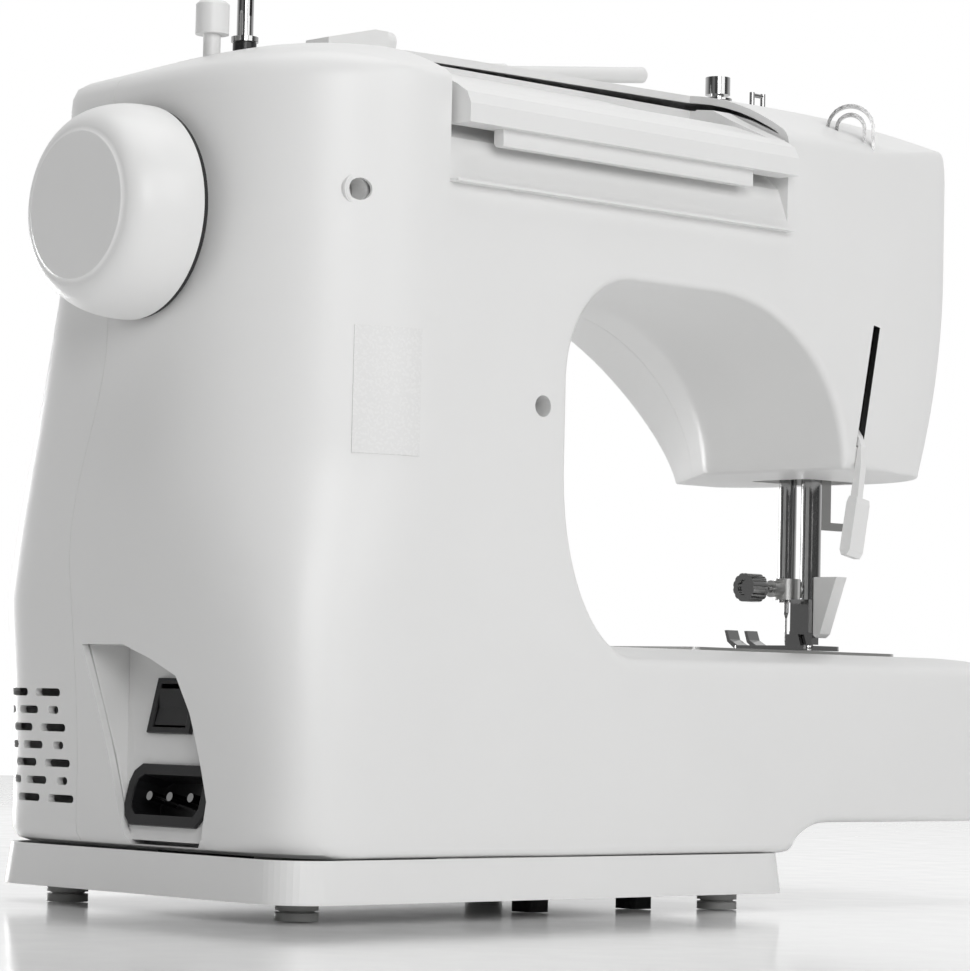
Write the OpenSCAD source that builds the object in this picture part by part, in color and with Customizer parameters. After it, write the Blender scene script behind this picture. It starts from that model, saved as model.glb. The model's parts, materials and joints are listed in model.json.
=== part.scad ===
// Domestic free-arm sewing machine, in millimetres.
// Origin: middle of the footprint, on the table. +X is the handwheel side, -Y faces the
// person who sews, +Z is up. Every piece is a node; pieces that move have a joint.

/* [Body] */
// Thickness of the moulded covers
wall = 2.6; // [2:0.1:3.5]
// Height of the pillar's rear top edge above the table
edge_z = 274.5; // [268:0.5:280]
// How far the top swells above that edge
dome_h = 18.5; // [14:0.5:22]
// Rear face of the covers
rear_y = 77; // [74:0.5:79]
// Front face of the arm and the head
arm_front_y = -48; // [-52:0.5:-44]
// How far the foot of the pillar swells forward of the arm
foot_swell = 36; // [30:1:36]
// Height of the underside of the head
head_bottom_z = 157; // [152:0.5:162]
// Height of the underside of the arm
arm_bottom_z = 214.5; // [210:0.5:218]
// Throat side of the pillar
pillar_x = 44; // [40:1:50]

/* [Free arm and base] */
// Left end of the free arm
tip_x = -197; // [-200:1:-190]
// Top of the free arm, under the needle plate
bed_z = 91.2; // [90:0.1:92]
// Underside of the free arm
free_arm_z = 30.5; // [28:0.5:34]
// Left end of the base tray
base_left_x = -74; // [-84:1:-64]
// Right end of the base tray
base_right_x = 160; // [158:0.5:162]
// Height of the base tray's underside
base_z = 6; // [5:0.5:8]
// Seam between the base tray and the covers
seam_z = 20; // [18:0.5:22]

/* [Handwheel and shafts] */
// Depth of the main shaft
shaft_y = 5; // [4:0.5:6]
// Height of the main shaft
shaft_z = 227; // [226:0.5:229]
// Radius of the handwheel's rim
wheel_r = 35; // [32:0.5:36]
// Outer face of the handwheel
wheel_face_x = 197; // [195:0.5:199]
// Height of the lower shaft
low_z = 62; // [60:0.5:64]
// Depth of the lower shaft
low_y = 16; // [14:0.5:18]

/* [Needle] */
// Needle bar, from the middle of the machine
needle_x = -144; // [-146:0.5:-142]
// Depth of the needle bar
needle_y = 5; // [4:0.5:6]
// Radius of the needle bar
needle_bar_r = 3.4; // [3:0.1:3.6]
// Distance from the needle bar back to the presser bar
presser_gap = 12; // [11:0.5:13]
// Radius of the presser bar
presser_bar_r = 3.9; // [3.5:0.1:4]

/* [Hidden] */
$fn = 48;
eps = 0.01;
face_crown = 1.4;      // how far the front face falls back above and below the arm's middle
part_y = -14;          // parting line of the covers on the arm and the bed
part_step = 20;        // how far it steps forward at the foot of the pillar
throat_r = [36.3, 62]; // lower throat corner, half axes
roof_r = [30, 35.5];   // upper throat corner, half axes
sweep_x = -28;         // where the arm's underside starts to sweep down to the head
sweep_r = [67, 57.5];  // that sweep, half axes at the rear
side_c = 109.3;        // where the pillar's rear face starts to turn into its side
head_c = -110;         // where the head's rear face starts to turn into its end
presser_y = needle_y + presser_gap;
plate_t = 1.2;
plate_z = bed_z + plate_t;
tip_z = plate_z + 1;   // needle point at rest
needle_blade_z = 105.2;  // top of the needle's thin blade, which stays above the plate
lifter_slant = 11;     // lean of the presser lifter's slot, degrees
lifter_pivot = [-108.5, 64, 196];
handle_x = [-60, 98];  // ends of the carry handle
handle_pivot = [46, 276];
recess_x = [-62, 100];
hook_z = low_z;
dial_at = [104, 188];
length_at = [104, 243];
reverse_at = [104, 128];
bed_front_y = -42;
tension_at = [-62, 246];
winder_at = [127, 3];
inlet_x = 152.7;       // floor of the power inlet's pocket at a height of 50
belt_x = 122.3;
timing_x = 78;
motor_at = [-40, 60];
take_up_at = [-30, 232];
foot_pin = [11.5, 97];
sole_z = plate_z + 0.3;
feed_rows = [[-8, -9, 20], [5, -9, 20]]; // rows of the feed dog: [x from the needle, y from, y to]
pin_rows = [-0.7, 9.8, 20.6];
rocker_at = [-3.5, 17.5];
foot_at = [[138, 54], [-50, 60], [142, -62], [-52, -62]];
rear_screws = [[133, 233.5, 66], [56, 169, 75]]; // [x, z, depth where their tubes end]
well_screw = [-2.6, 50];
thread_knob_at = [-103, 3];
hoop_at = [-104, 69, 282];
reel_root = [4.2, -9, 296.3]; // root of the reel's rod, its rise in degrees and its length
reel_tilt = 7.2;
reel_l = 80;
reel_shoulder = 7.5;  // thicker root that the reel stops at
outer_levels = [0, 0.23, 0.5, 0.7, 0.83, 0.91, 0.965, 0.988, 1];
outer_levels_front = [0, 0.35, 0.65, 0.86, 0.95, 0.985, 1];
inner_levels = [0, 0.25, 0.6, 0.85, 1];

function clamp(v, lo, hi) = max(lo, min(hi, v));
function smooth(t) = let (c = clamp(t, 0, 1)) c * c * (3 - 2 * c);
function mix(a, b, f) = a + (b - a) * f;
// Quarter of a superellipse: 1 at t = 0, falling to 0 at t = 1
function quarter(t, n) = pow(max(0, 1 - pow(clamp(t, 0, 1), n)), 1 / n);

// ---- outer form of the covers -------------------------------------------------------------
// Front face: slightly crowned along the arm, swelling forward down the pillar
function front_y(x, z) = arm_front_y + face_crown * pow(clamp((225 - z) / 70, -1, 1), 2)
    - foot_swell * pow(clamp((220 - z) / 118, 0, 1), 1.15) * smooth((x + 20) / 60);
// Right side of the pillar: round in plan at the top, squarer near the base
function side_x(y, z) = let (f = smooth((z - 40) / 110), a = mix(51, 58.7, f))
    y > shaft_y ? side_c + a * quarter((y - shaft_y) / (rear_y - shaft_y), mix(5, 2, f))
                : side_c + a * quarter((shaft_y - y) / (shaft_y + 2 - front_y(160, z)), 7);
// Left end of the head: round in plan, drawn in towards its underside
function head_x(y, z) = let (a = 80 - 18 * pow(clamp((235 - z) / 77, 0, 1.02), 2))
    y > 22 ? head_c - a * quarter((y - 22) / (rear_y - 22), 2)
           : head_c - a * quarter((22 - y) / (25 - arm_front_y), 4);
// Left end of the free arm, with rounded corners in plan
function arm_tip_x(y) = y > 22 ? -150 + (tip_x + 150) * quarter((y - 22) / (rear_y - 22), 5) : tip_x;
// Domed top
function top_z(x, y) = edge_z + (dome_h - 0.015 * x)
    * (1 - pow(clamp(abs(y - 8) / (rear_y - 8), 0, 1), 2.4))
    * (1 - pow(clamp(abs(x + 15) / 178, 0, 1), 6));
// Crowned bed
function bed_top(y) = bed_z - 5 * pow(clamp((y - 30) / 47, 0, 1), 2.5);
// Parting surface between rear and front covers
function parting(x, z) = part_y - part_step * smooth((190 - z) / 80) * smooth((x - 46) / 30);
// Sweep from the arm's underside down to the head: an ellipse at the rear that straightens and
// moves left towards the front
function sweep(t, y) = let (m = clamp((7 - y) / 55, 0, 1), n = mix(2, 1.3, m))
    [sweep_x - 32 * m - (sweep_r[0] + 9 * m) * pow(sin(t), 2 / n),
     head_bottom_z + sweep_r[1] * pow(cos(t), 2 / n)];

// Pairs of [throat point, outer point] along the covers at depth y. Lower run: free arm and bed
function bed_pairs(y) = [
    for (f = [0, 0.12, 0.3, 0.5]) let (x = mix(arm_tip_x(y), base_left_x - 12, f * 2))
        [[x, bed_top(y)], [x, free_arm_z]],
    [[base_left_x - 2, bed_top(y)], [base_left_x - 4.5, free_arm_z - 2.5]],
    [[base_left_x + 6, bed_top(y)], [base_left_x + 1, free_arm_z - 6]],
    [[base_left_x + 16, bed_top(y)], [base_left_x + 3, seam_z]],
    [[-25, bed_top(y)], [-20, seam_z]]];
// Lower throat corner and the pillar
function pillar_pairs(y, first) = let (c = [pillar_x - throat_r[0], bed_top(rear_y) + throat_r[1]])
    concat(
        [for (i = [first:5]) let (t = i * 18)
            [[c[0] + throat_r[0] * sin(t), mix(c[1], bed_top(y), cos(t))],
             i < 3 ? [mix(pillar_x - 10, side_x(y, seam_z), i / 3), seam_z]
                   : let (z = seam_z + (i - 3) * 26) [side_x(y, z), z]]],
        [for (i = [1:4]) let (z = 72 + 30 * i) [[pillar_x, c[1] + 8 * i], [side_x(y, z), z]]],
        [for (i = [1:5]) let (t = i * 18, z = 198 + 25 * i)
            [[pillar_x - roof_r[0] * (1 - cos(t)), arm_bottom_z - roof_r[1] * (1 - sin(t))],
             i < 3 ? [side_x(y, z), z]
                   : let (x = mix(side_x(y, edge_z), 60, (i - 3) / 3)) [x, top_z(x, y)]]]);
// Arm and head
function arm_pairs(y) = let (mid = 60, end = head_x(y, edge_z), e = sweep(90, y),
                             low = head_x(y, head_bottom_z)) concat(
    [for (i = [1:2]) let (x = mid - 18 * i) [[mix(14, sweep_x, i / 2), arm_bottom_z], [x, top_z(x, y)]]],
    [for (i = [1:6]) let (x = mix(24, end, i / 9)) [sweep(15 * i, y), [x, top_z(x, y)]]],
    [for (i = [1:3]) let (x = mix(24, end, (i + 6) / 9))
        [[mix(e[0], low, i / 8), head_bottom_z], [x, top_z(x, y)]]],
    [for (i = [4:7]) let (z = edge_z - 29 * (i - 3))
        [[mix(e[0], low, i / 8), head_bottom_z], [head_x(y, z), z]]]);

function outline(pairs) = concat([for (p = pairs) p[0]],
    [for (i = [len(pairs) - 1:-1:0]) pairs[i][1]]);
// Move every point of a closed outline inwards by d, along the mean of its edges' normals
function inset(o, d) = let (n = len(o)) [for (i = [0:n - 1])
    let (a = o[(i + n - 1) % n], b = o[i], c = o[(i + 1) % n],
         u = (b - a) / max(norm(b - a), eps), v = (c - b) / max(norm(c - b), eps),
         s = [u[1] + v[1], -u[0] - v[0]], k = max(norm(s), 0.6))
    b + s * (2 * d / (k * k))];
// Rounding of the rim near the outer face
function rim(gap, e) = gap > e ? 0 : e - sqrt(max(0, e * e - pow(e - gap, 2)));

function rear_pairs(y) = concat(bed_pairs(y), pillar_pairs(y, 0), arm_pairs(y));
function front_pairs(y) = concat(pillar_pairs(y, 0), arm_pairs(y));

// Lofted half of the covers. rear: true for the rear half; d: inset; over: how far the loft
// runs past the parting surface
module half(rear, d, over, levels) {
    face = function (x, z) rear ? rear_y - d : front_y(x, z) + d;
    start = function (x, z) parting(x, z) + (rear ? -over : over);
    nominal = rear ? rear_pairs(part_y) : front_pairs(part_y);
    n = len(nominal);
    m = 2 * n;
    e = 3.2;
    // every ring is a closed outline at one share of the depth
    rings = [for (u = levels) let (
        flat = outline(nominal),
        ys = [for (p = flat) mix(start(p[0], p[1]), face(p[0], p[1]), u)],
        full = [for (i = [0:m - 1]) outline(rear ? rear_pairs(ys[i]) : front_pairs(ys[i]))[i]],
        gap = (1 - u) * abs(face(0, 240) - start(0, 240)),
        o = inset(full, d + rim(gap, e)))
        [for (i = [0:m - 1]) [o[i][0], ys[i], o[i][1]]]];
    k = len(levels);
    last = rings[k - 1];
    across = [for (i = [0:n - 1], f = [1:3]) let (a = last[i], b = last[m - 1 - i],
        x = mix(a[0], b[0], f / 4), z = mix(a[2], b[2], f / 4)) [x, face(x, z), z]];
    cap = function (i, f) f == 0 ? (k - 1) * m + i : f == 4 ? (k - 1) * m + m - 1 - i
        : k * m + i * 3 + f - 1;
    walls = [for (j = [0:k - 2], i = [0:m - 1]) let (a = j * m + i, b = j * m + (i + 1) % m)
        each [[a, a + m, b], [b, a + m, b + m]]];
    roof = [for (i = [1:n - 3], f = [0:3])
        each [[cap(i, f), cap(i, f + 1), cap(i + 1, f)], [cap(i + 1, f), cap(i, f + 1), cap(i + 1, f + 1)]]];
    // the first and last strips fan out from the two corners of the end wall
    fans = [for (q = [[0, 1], [n - 1, n - 2]]) let (c0 = cap(q[0], 0), c4 = cap(q[0], 4),
        s = [for (f = [0:4]) cap(q[1], f)],
        tris = [[c0, s[1], s[0]], [c0, s[2], s[1]], [c0, c4, s[2]], [c4, s[3], s[2]], [c4, s[4], s[3]]])
        each q[0] == 0 ? tris : [for (t = tris) [t[2], t[1], t[0]]]];
    floor_ = [for (i = [0:n - 2]) each [[i, i + 1, m - 1 - i], [i + 1, m - 2 - i, m - 1 - i]]];
    all = concat(walls, roof, fans, floor_);
    polyhedron([for (r = rings) each r, each across],
        rear ? all : [for (t = all) [t[2], t[1], t[0]]], convexity = 10);
}

// A rod along X, Y or Z from a to a + l
module rod_x(p, r, l) { translate(p) rotate([0, 90, 0]) cylinder(r = r, h = l); }
module rod_y(p, r, l) { translate(p) rotate([-90, 0, 0]) cylinder(r = r, h = l); }
module rod_z(p, r, l) { translate(p) cylinder(r = r, h = l); }
module box(a, b) { translate(a) cube(b - a); }
// Block with round vertical corners, exact arcs
module rounded_plate(a, b, r) {
    translate([0, 0, a[2]]) linear_extrude(b[2] - a[2]) rounded([a[0], a[1]], [b[0], b[1]], r);
}
module rounded(a, b, r) {
    translate([a[0] + r, a[1]]) square([b[0] - a[0] - 2 * r, b[1] - a[1]]);
    translate([a[0], a[1] + r]) square([b[0] - a[0], b[1] - a[1] - 2 * r]);
    for (x = [a[0] + r, b[0] - r], y = [a[1] + r, b[1] - r]) translate([x, y]) circle(r);
}
// Extrude a profile drawn in (y, z) along X from x0 to x1
module along_x(x0, x1) { translate([x0, 0, 0]) rotate([90, 0, 90]) linear_extrude(x1 - x0) children(); }
// Extrude a profile drawn in (x, z) along +Y from y0 to y1
module along_y(y0, y1) { translate([0, y1, 0]) rotate([90, 0, 0]) linear_extrude(y1 - y0) children(); }

// ---- covers ---------------------------------------------------------------------------------
// Hollow at the rear top that the carry handle folds into, with a scoop for the fingers below
// it, as a profile in (y, z)
module handle_hollow(grow) {
    polygon([[rear_y + 4, 241.5 - grow], [77.4 - grow * 0.35, 241.5 - grow],
        [72.5 - grow, 254.5 - grow * 0.4], [64 - grow, 262 - grow], [34 - grow, 275 - grow],
        [28 - grow, 282], [28 - grow, 300], [rear_y + 4, 300]]);
}
// Outline of the power inlet's pocket on the side, in (y, z), grown by g
module inlet_arch(g) {
    polygon([[-29.5 - g, 87 + g], [-7.5, 87 + g], [6.5 + g / 3, 82.5 + g], [19.5 + g, 77 + g],
        [26 + g, 65], [30.4 + g, 51], [34.3 + g, 37], [32 + g, 25 - g], [28, 22 - g],
        [-7.2 - g, 22 - g]]);
}
// The pocket: its floor leans inwards going up
module inlet_space(g) {
    intersection() {
        along_x(130, 180) inlet_arch(g);
        along_y(-60, 60) polygon([[inlet_x + 8 - g, 18], [inlet_x - 10 - g, 90], [200, 90], [200, 18]]);
    }
}
// Local frame of the pocket's floor: X out of it, Z up along it, from its middle
module on_floor() { translate([inlet_x, 0, 50]) rotate([0, -14.04, 0]) children(); }
// Screw wells through the rear face
module cover_screw_wells() {
    for (s = rear_screws) {
        rod_y([s[0], 60, s[1]], 3.6, 30);
        rod_y([s[0], 30, s[1]], 1.8, 60);
    }
}
module lifter_frame() { translate(lifter_pivot) rotate([0, -lifter_slant, 0]) children(); }
module lifter_slot() { lifter_frame() box([-1.8, 0, -31.5], [1.8, 30, 14]); }
// Window in the covers' floor for the feet of the frame and the motor
module floor_window() { box([52, -58, seam_z - 1], [134, 58, seam_z + 3.4]); }
module rear_shell() {
    color("whitesmoke") difference() {
        union() {
            difference() {
                half(true, 0, 0, outer_levels);
                half(true, wall, 2, inner_levels);
            }
            // tubes that the rear screws run in
            for (s = rear_screws) rod_y([s[0], 34.3, s[1]], 5.4, s[2] - 34.3);
        }
        cover_screw_wells();
        lifter_slot();
        along_x(recess_x[0] - wall, recess_x[1] + wall) handle_hollow(wall);
        along_x(150, 180) inlet_arch(0);
        rod_x([140, shaft_y, shaft_z], 9, 40);
        // mouth under the head for the bars
        rounded_plate([needle_x - 20, needle_y - 10, 150], [needle_x + 12, presser_y + 9, 162], 4);
        // window under the needle plate
        rounded_plate([needle_x - 34, part_y - 5, 86], [needle_x + 40, 26, 96], 3);
        winder_slot();
        floor_window();
        // holes for the pieces on top
        rod_z([141, winder_at[1], 275], 3, 30);
        rod_z([thread_knob_at[0], thread_knob_at[1], 275], 2.6, 30);
        rod_z([-128, 3, 275], 1.1, 30);
        rod_z([reel_root[0] - 3, reel_root[1], 275], 3.2, 30);
        rod_z([88, 5, 275], 2.6, 30);
        hoop_legs(0.3);
    }
}
module winder_slot() {
    rounded_plate([winder_at[0] - 4.6, winder_at[1] - 4.6, 270],
        [winder_at[0] + 8.8, winder_at[1] + 4.6, 300], 4.5);
}
// Vents in the right side: rows of long slots, every other row shifted and ended by short ones
module vents() {
    pitch = 5.9;
    for (row = [0:6]) let (z = 69.5 - row * pitch, y0 = -43 + row * 1.2, odd = row % 2 == 1)
        for (s = odd ? [[-8.5, 6], [-27, 12.5], [-37, 6]] : [[-14.5, 14.5], [-34, 14.5]])
            along_x(130, 175) translate([y0 + s[0], z]) slot_2d(s[1], 2.6);
}
module slot_2d(l, w) {
    translate([w / 2, 0]) square([l - w, w]);
    for (x = [w / 2, l - w / 2]) translate([x, w / 2]) circle(w / 2, $fn = 24);
}
module front_shell() {
    color("white") difference() {
        union() {
            difference() {
                union() {
                    half(false, 0, -0.15, outer_levels_front);
                    // level seat of the pattern dial
                    rod_y([dial_at[0], -62.5, dial_at[1]], 22.5, 14);
                }
                half(false, wall, 2, inner_levels);
            }
            // lugs that hold the reverse lever's pin
            for (x = [-13, 8]) box([reverse_at[0] + x, -75, reverse_at[1] - 6],
                [reverse_at[0] + x + 5, -57, reverse_at[1] + 6]);
        }
        rod_x([reverse_at[0] - 15, -62, reverse_at[1]], 2.05, 30);
        floor_window();
        vents();
        // dial, lever and take-up openings in the front
        rod_y([dial_at[0], -90, dial_at[1]], 6, 60);
        rod_y([length_at[0], -90, length_at[1]], 4, 60);
        rod_y([tension_at[0], -90, tension_at[1]], 5, 60);
        box([reverse_at[0] - 7, -95, reverse_at[1] - 12], [reverse_at[0] + 7, -40, reverse_at[1] + 12]);
        box([-131, -60, 186], [-127, -30, 300]);
    }
}
module bed_cover() {
    y0 = bed_front_y;
    color("white") difference() {
        bed_form(0);
        bed_form(wall);
        rod_x([needle_x - 30, y0 + 1.3, 38], 0.75, 60);
        // mouth for the shuttle, window under the needle plate, and the slanted right end
        box([needle_x - 27, y0 - 5, 36], [needle_x + 27, y0 + 20, 80]);
        rounded_plate([needle_x - 34, -36, 86], [needle_x + 40, part_y + 5, 96], 3);
        along_y(y0 - 5, 0) polygon([[5.9, 95], [60, 95], [60, 15], [35.4, 15]]);
    }
}
// The front cover's form, inset by d; the underside steps up from the base to the free arm
module bed_form(d) {
    difference() {
        along_x(tip_x + 2 + d, 31 + 2 * d) bed_profile(bed_front_y, d);
        along_y(-60, 0) polygon([[-210, 10], [base_left_x + d, 10], [base_left_x + d, seam_z],
            [base_left_x - 10 + d * 0.5, free_arm_z + d], [-210, free_arm_z + d]]);
    }
}
// Section of the free arm's front cover in (y, z), round along its front edges
module bed_profile(y0, d) {
    r = 9 - d;
    a = [y0 + d, seam_z + d];
    b = [part_y - 0.15 + (d > 0 ? 3 : 0), bed_z - d];
    translate([a[0] + r, a[1]]) square([b[0] - a[0] - r, b[1] - a[1]]);
    translate([a[0], a[1]]) square([r + eps, b[1] - a[1] - r]);
    translate([a[0] + r, b[1] - r]) circle(r);
}
module base_tray() {
    color("gainsboro") difference() {
        hull() {
            translate([0, 0, base_z]) linear_extrude(1) base_plan(0);
            translate([0, 0, seam_z - 1]) linear_extrude(1 - 0.05) base_plan(2);
        }
        translate([0, 0, base_z + 3]) linear_extrude(20) base_plan(2 + wall);
    }
    color("gainsboro") for (p = foot_at) rod_z([p[0], p[1], base_z + 2], 9, 5);
}
module base_plan(d) {
    rounded([base_left_x + d, -84 + d], [base_right_x - d / 3, rear_y - d / 3], 16);
}
module rubber_feet() {
    color("silver") for (p = foot_at) {
        rod_z([p[0], p[1], 0], 7, 2.6);
        rod_z([p[0], p[1], 2.5], 5.8, 1);
        rod_z([p[0], p[1], 3.4], 7, 2.6);
    }
}
module support_pads() {
    color("black") for (x = [28, -22]) rounded_plate([x - 5, 41, 0], [x + 5, 52, base_z], 3);
}

// ---- carry handle ---------------------------------------------------------------------------
module handle_well() {
    x0 = recess_x[0];
    x1 = recess_x[1];
    color("whitesmoke") difference() {
        union() {
            along_x(x0, x1) well_floor();
            along_x(x0 - wall + 0.15, x0) well_cheek();
            along_x(x1, x1 + wall - 0.15) well_cheek();
            // raised middle; the gap for the fingers is left free beside it
            along_x(-9, 86) well_shelf();
        }
        rod_z([well_screw[0], well_screw[1], 250], 1.6, 40);
        rod_z([well_screw[0], well_screw[1], 276], 3.1, 10);
        for (x = [x0 - 5, x1 - 5]) rod_x([x, handle_pivot[0], handle_pivot[1] + 3], 2.1, 10);
    }
}
module well_floor() {
    difference() {
        handle_hollow(wall - 0.15);
        handle_hollow(0);
        translate([rear_y - 0.2, 240]) square([20, 80]);
        translate([0, 287.5]) square([100, 30]);
    }
}
module well_cheek() {
    polygon([[rear_y - 0.2, 239.4], [rear_y - 0.2, 272.5], [68, 276.5], [58, 281], [46, 285],
        [28, 287.5], [25.5, 287.5], [25.5, 281], [33, 272.5], [63, 259.5], [70.4, 253.6], [76.6, 239.4]]);
}
module well_shelf() {
    polygon([[33, 274.4], [57.3, 264], [57.3, 276.6], [56.2, 277.8], [37, 283.2], [28, 285.4],
        [27, 283], [27, 280.6]]);
}
// Folded handle: a loop with a long grip, its arms pinned at the front of the hollow
module carry_handle() {
    p = [handle_pivot[0], handle_pivot[1] + 3];
    color("white") difference() {
        union() {
            along_x(handle_x[0], handle_x[1]) grip_profile();
            // rib inside the lower edge, which the fingers pull
            along_x(-40, 80) polygon([[80.6, 252.6], [80.6, 258.6], [76, 259.2], [76, 253.6], [77, 252.6]]);
            for (x = [handle_x[0], handle_x[1] - 9]) along_x(x, x + 9) arm_profile(p);
        }
        // the grip is drawn in towards its ends and hollow underneath
        along_x(handle_x[0] + 9, handle_x[1] - 9)
            polygon([[60, 268.2], [71.5, 262.2], [74, 262.2], [74, 263.4]]);
        for (x = [handle_x[0], handle_x[1]]) rod_x([x - 5, p[0], p[1]], 2.1, 10);
    }
    color("silver") for (x = [recess_x[0] - 2, recess_x[1] - 3]) rod_x([x, p[0], p[1]], 2, 5);
}
module grip_profile() {
    polygon([[84, 258.3], [84, 264.5], [82, 268.5], [77, 271.5], [68, 274.5], [61, 277], [59, 275.5],
        [60, 273.5], [72, 265], [74.5, 258.3]]);
}
module arm_profile(p) {
    polygon([[84, 258.3], [84, 264.5], [82, 268.5], [77, 271.5], [68, 275.5], [58, 280], [50, 284],
        [42, 285], [38.5, 281], [40, 276], [63, 267], [74.5, 258.3]]);
}
module handle_screw() {
    color("dimgray") {
        rod_z([well_screw[0], well_screw[1], 254], 1.5, 24);
        rod_z([well_screw[0], well_screw[1], 276.1], 2.9, 1.9);
    }
}
module shell_screws() {
    color("silver") for (s = rear_screws) {
        rod_y([s[0], 24, s[1]], 1.7, 38);
        rod_y([s[0], 60.2, s[1]], 3.3, 2.4);
    }
}

// ---- frame and shafts -----------------------------------------------------------------------
module arm_frame() {
    color("darkgray") difference() {
        union() {
            along_y(28, 34) polygon([[-168, 36], [128, 36], [128, 112], [150, 130], [150, 262],
                [-160, 262], [-160, 172], [-120, 172], [-104, 204], [-84, 222], [38, 222],
                [58, 204], [60, 92], [34, 56], [-168, 56]]);
            // bearing lugs
            for (x = [138, -100]) box([x, -6, 216], [x + 12, 28, 238]);
            for (x = [30, -112]) box([x, 8, 46], [x + 10, 28, 71]);
            // foot flange that bolts to the base tray
            box([60, 20, base_z + 3], [128, 34, 36]);
            box([60, 28, 30], [128, 34, 40]);
            // bracket and pin of the presser lifter
            lifter_frame() {
                box([-9.5, -37, -5], [-4.4, 5, 5]);
                rod_x([-9, 0, 0], 2, 12.5);
            }
            // lug that the handle well's screw bites in
            box([well_screw[0] - 5, 30, 254], [well_screw[0] + 5, well_screw[1] + 5, 262]);
            // stop plate that the winder's carriage slides on
            box([112, -8, 262], [146, 34, 266]);
            box([112, -8, 262], [146, 12, 272]);
        }
        rod_x([-101, shaft_y, shaft_z], 7.5, 252);
        rod_x([-113, low_y, low_z], 6.5, 154);
        for (s = rear_screws) rod_y([s[0], 23, s[1]], 1.75, 14);
        rod_z([well_screw[0], well_screw[1], 250], 1.55, 20);
    }
}
module sleeve(x, y, z, outer, inner, l) {
    difference() {
        rod_x([x, y, z], outer, l);
        rod_x([x - 1, y, z], inner, l + 2);
    }
}
module shaft_bushes() {
    color("goldenrod") {
        for (x = [138, -100]) sleeve(x, shaft_y, shaft_z, 7.5, 5.04, 12);
        for (x = [30, -112]) sleeve(x, low_y, low_z, 6.5, 4.04, 10);
    }
}
module main_shaft() { color("silver") rod_x([-134, shaft_y, shaft_z], 5, 322); }
module lower_shaft() {
    color("silver") {
        rod_x([-136, low_y, low_z], 4, 226);
        // bevel that turns the hook's shaft
        translate([needle_x + 6, low_y, low_z]) rotate([0, 90, 0]) cylinder(r1 = 5.4, r2 = 9.4, h = 4);
    }
}
module handwheel() {
    x0 = 171.3;
    w = wheel_face_x - x0;
    color("whitesmoke") difference() {
        translate([x0, shaft_y, shaft_z]) rotate([0, 90, 0]) rotate_extrude() polygon(concat(
            [[5, 6], [12, 6], [12, 0], [14, 0], [14, 12], [wheel_r - 5, 7], [wheel_r - 2.4, 0], [wheel_r, 0]],
            [[wheel_r, 4]],
            [for (i = [1:7]) let (t = i * 90 / 8) [24.5 + (wheel_r - 24.5) * cos(t), 4 + (w - 5) * sin(t)]],
            [[24, w - 0.6], [22.8, w], [5, w]]));
        rod_x([x0 - 1, shaft_y, shaft_z], 5, w - 5);
    }
    color("whitesmoke") rod_x([wheel_face_x - 4, shaft_y, shaft_z], 5.2, 4);
}
module grooved_wheel(x, y, z, r, l, bore) {
    translate([x, y, z]) rotate([0, 90, 0]) difference() {
        union() {
            cylinder(r = r, h = l);
            cylinder(r = r + 1.6, h = 0.9);
            translate([0, 0, l - 0.9]) cylinder(r = r + 1.6, h = 0.9);
        }
        translate([0, 0, -1]) cylinder(r = bore, h = l + 2);
    }
}
module belt_wheel() { color("dimgray") grooved_wheel(belt_x, shaft_y, shaft_z, 19.4, 8, 5); }
module motor_pulley() {
    color("dimgray") {
        grooved_wheel(belt_x, motor_at[0], motor_at[1], 6.4, 8, 3);
        rod_x([111, motor_at[0], motor_at[1]], 3, 23);
    }
}
// Toothed wheel: a body with trapezoid teeth
module timing_wheel(y, z) {
    teeth = 18;
    translate([timing_x, y, z]) rotate([0, 90, 0]) difference() {
        linear_extrude(10) difference() {
            circle(9.4);
            for (i = [0:teeth - 1]) rotate(i * 360 / teeth) translate([8.6, 0])
                polygon([[0, -0.7], [2, -1.1], [2, 1.1], [0, 0.7]]);
        }
        translate([0, 0, -1]) cylinder(r = z > 150 ? 5 : 4, h = 12);
    }
}
module upper_timing_wheel() { color("dimgray") timing_wheel(shaft_y, shaft_z); }
module lower_timing_wheel() { color("dimgray") timing_wheel(low_y, low_z); }
// Belt round two wheels, in the plane across the shafts
module belt(x, w, a, ra, b, rb, t) {
    color("black") along_x(x, x + w) difference() {
        hull() { translate(a) circle(ra + t); translate(b) circle(rb + t); }
        hull() { translate(a) circle(ra); translate(b) circle(rb); }
    }
}
module drive_belt() { belt(belt_x + 1.4, 5.2, [shaft_y, shaft_z], 19.8, motor_at, 6.8, 2.6); }
module timing_belt() { belt(timing_x + 1, 8, [shaft_y, shaft_z], 9.7, [low_y, low_z], 9.7, 1.5); }
module motor() {
    color("gray") {
        difference() {
            union() {
                rod_x([62, motor_at[0], motor_at[1]], 22, 52);
                rod_x([114, motor_at[0], motor_at[1]], 9, 5);
                box([66, motor_at[0] - 14, base_z + 3.2], [110, motor_at[0] + 14, 42]);
            }
            rod_x([110, motor_at[0], motor_at[1]], 3.06, 12);
            for (i = [0:7]) rotate_at(i * 45) box([60, -1.2, 14], [61.8 + 3, 1.2, 19]);
        }
    }
}
module rotate_at(a) { translate([0, motor_at[0], motor_at[1]]) rotate([a, 0, 0]) children(); }

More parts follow.
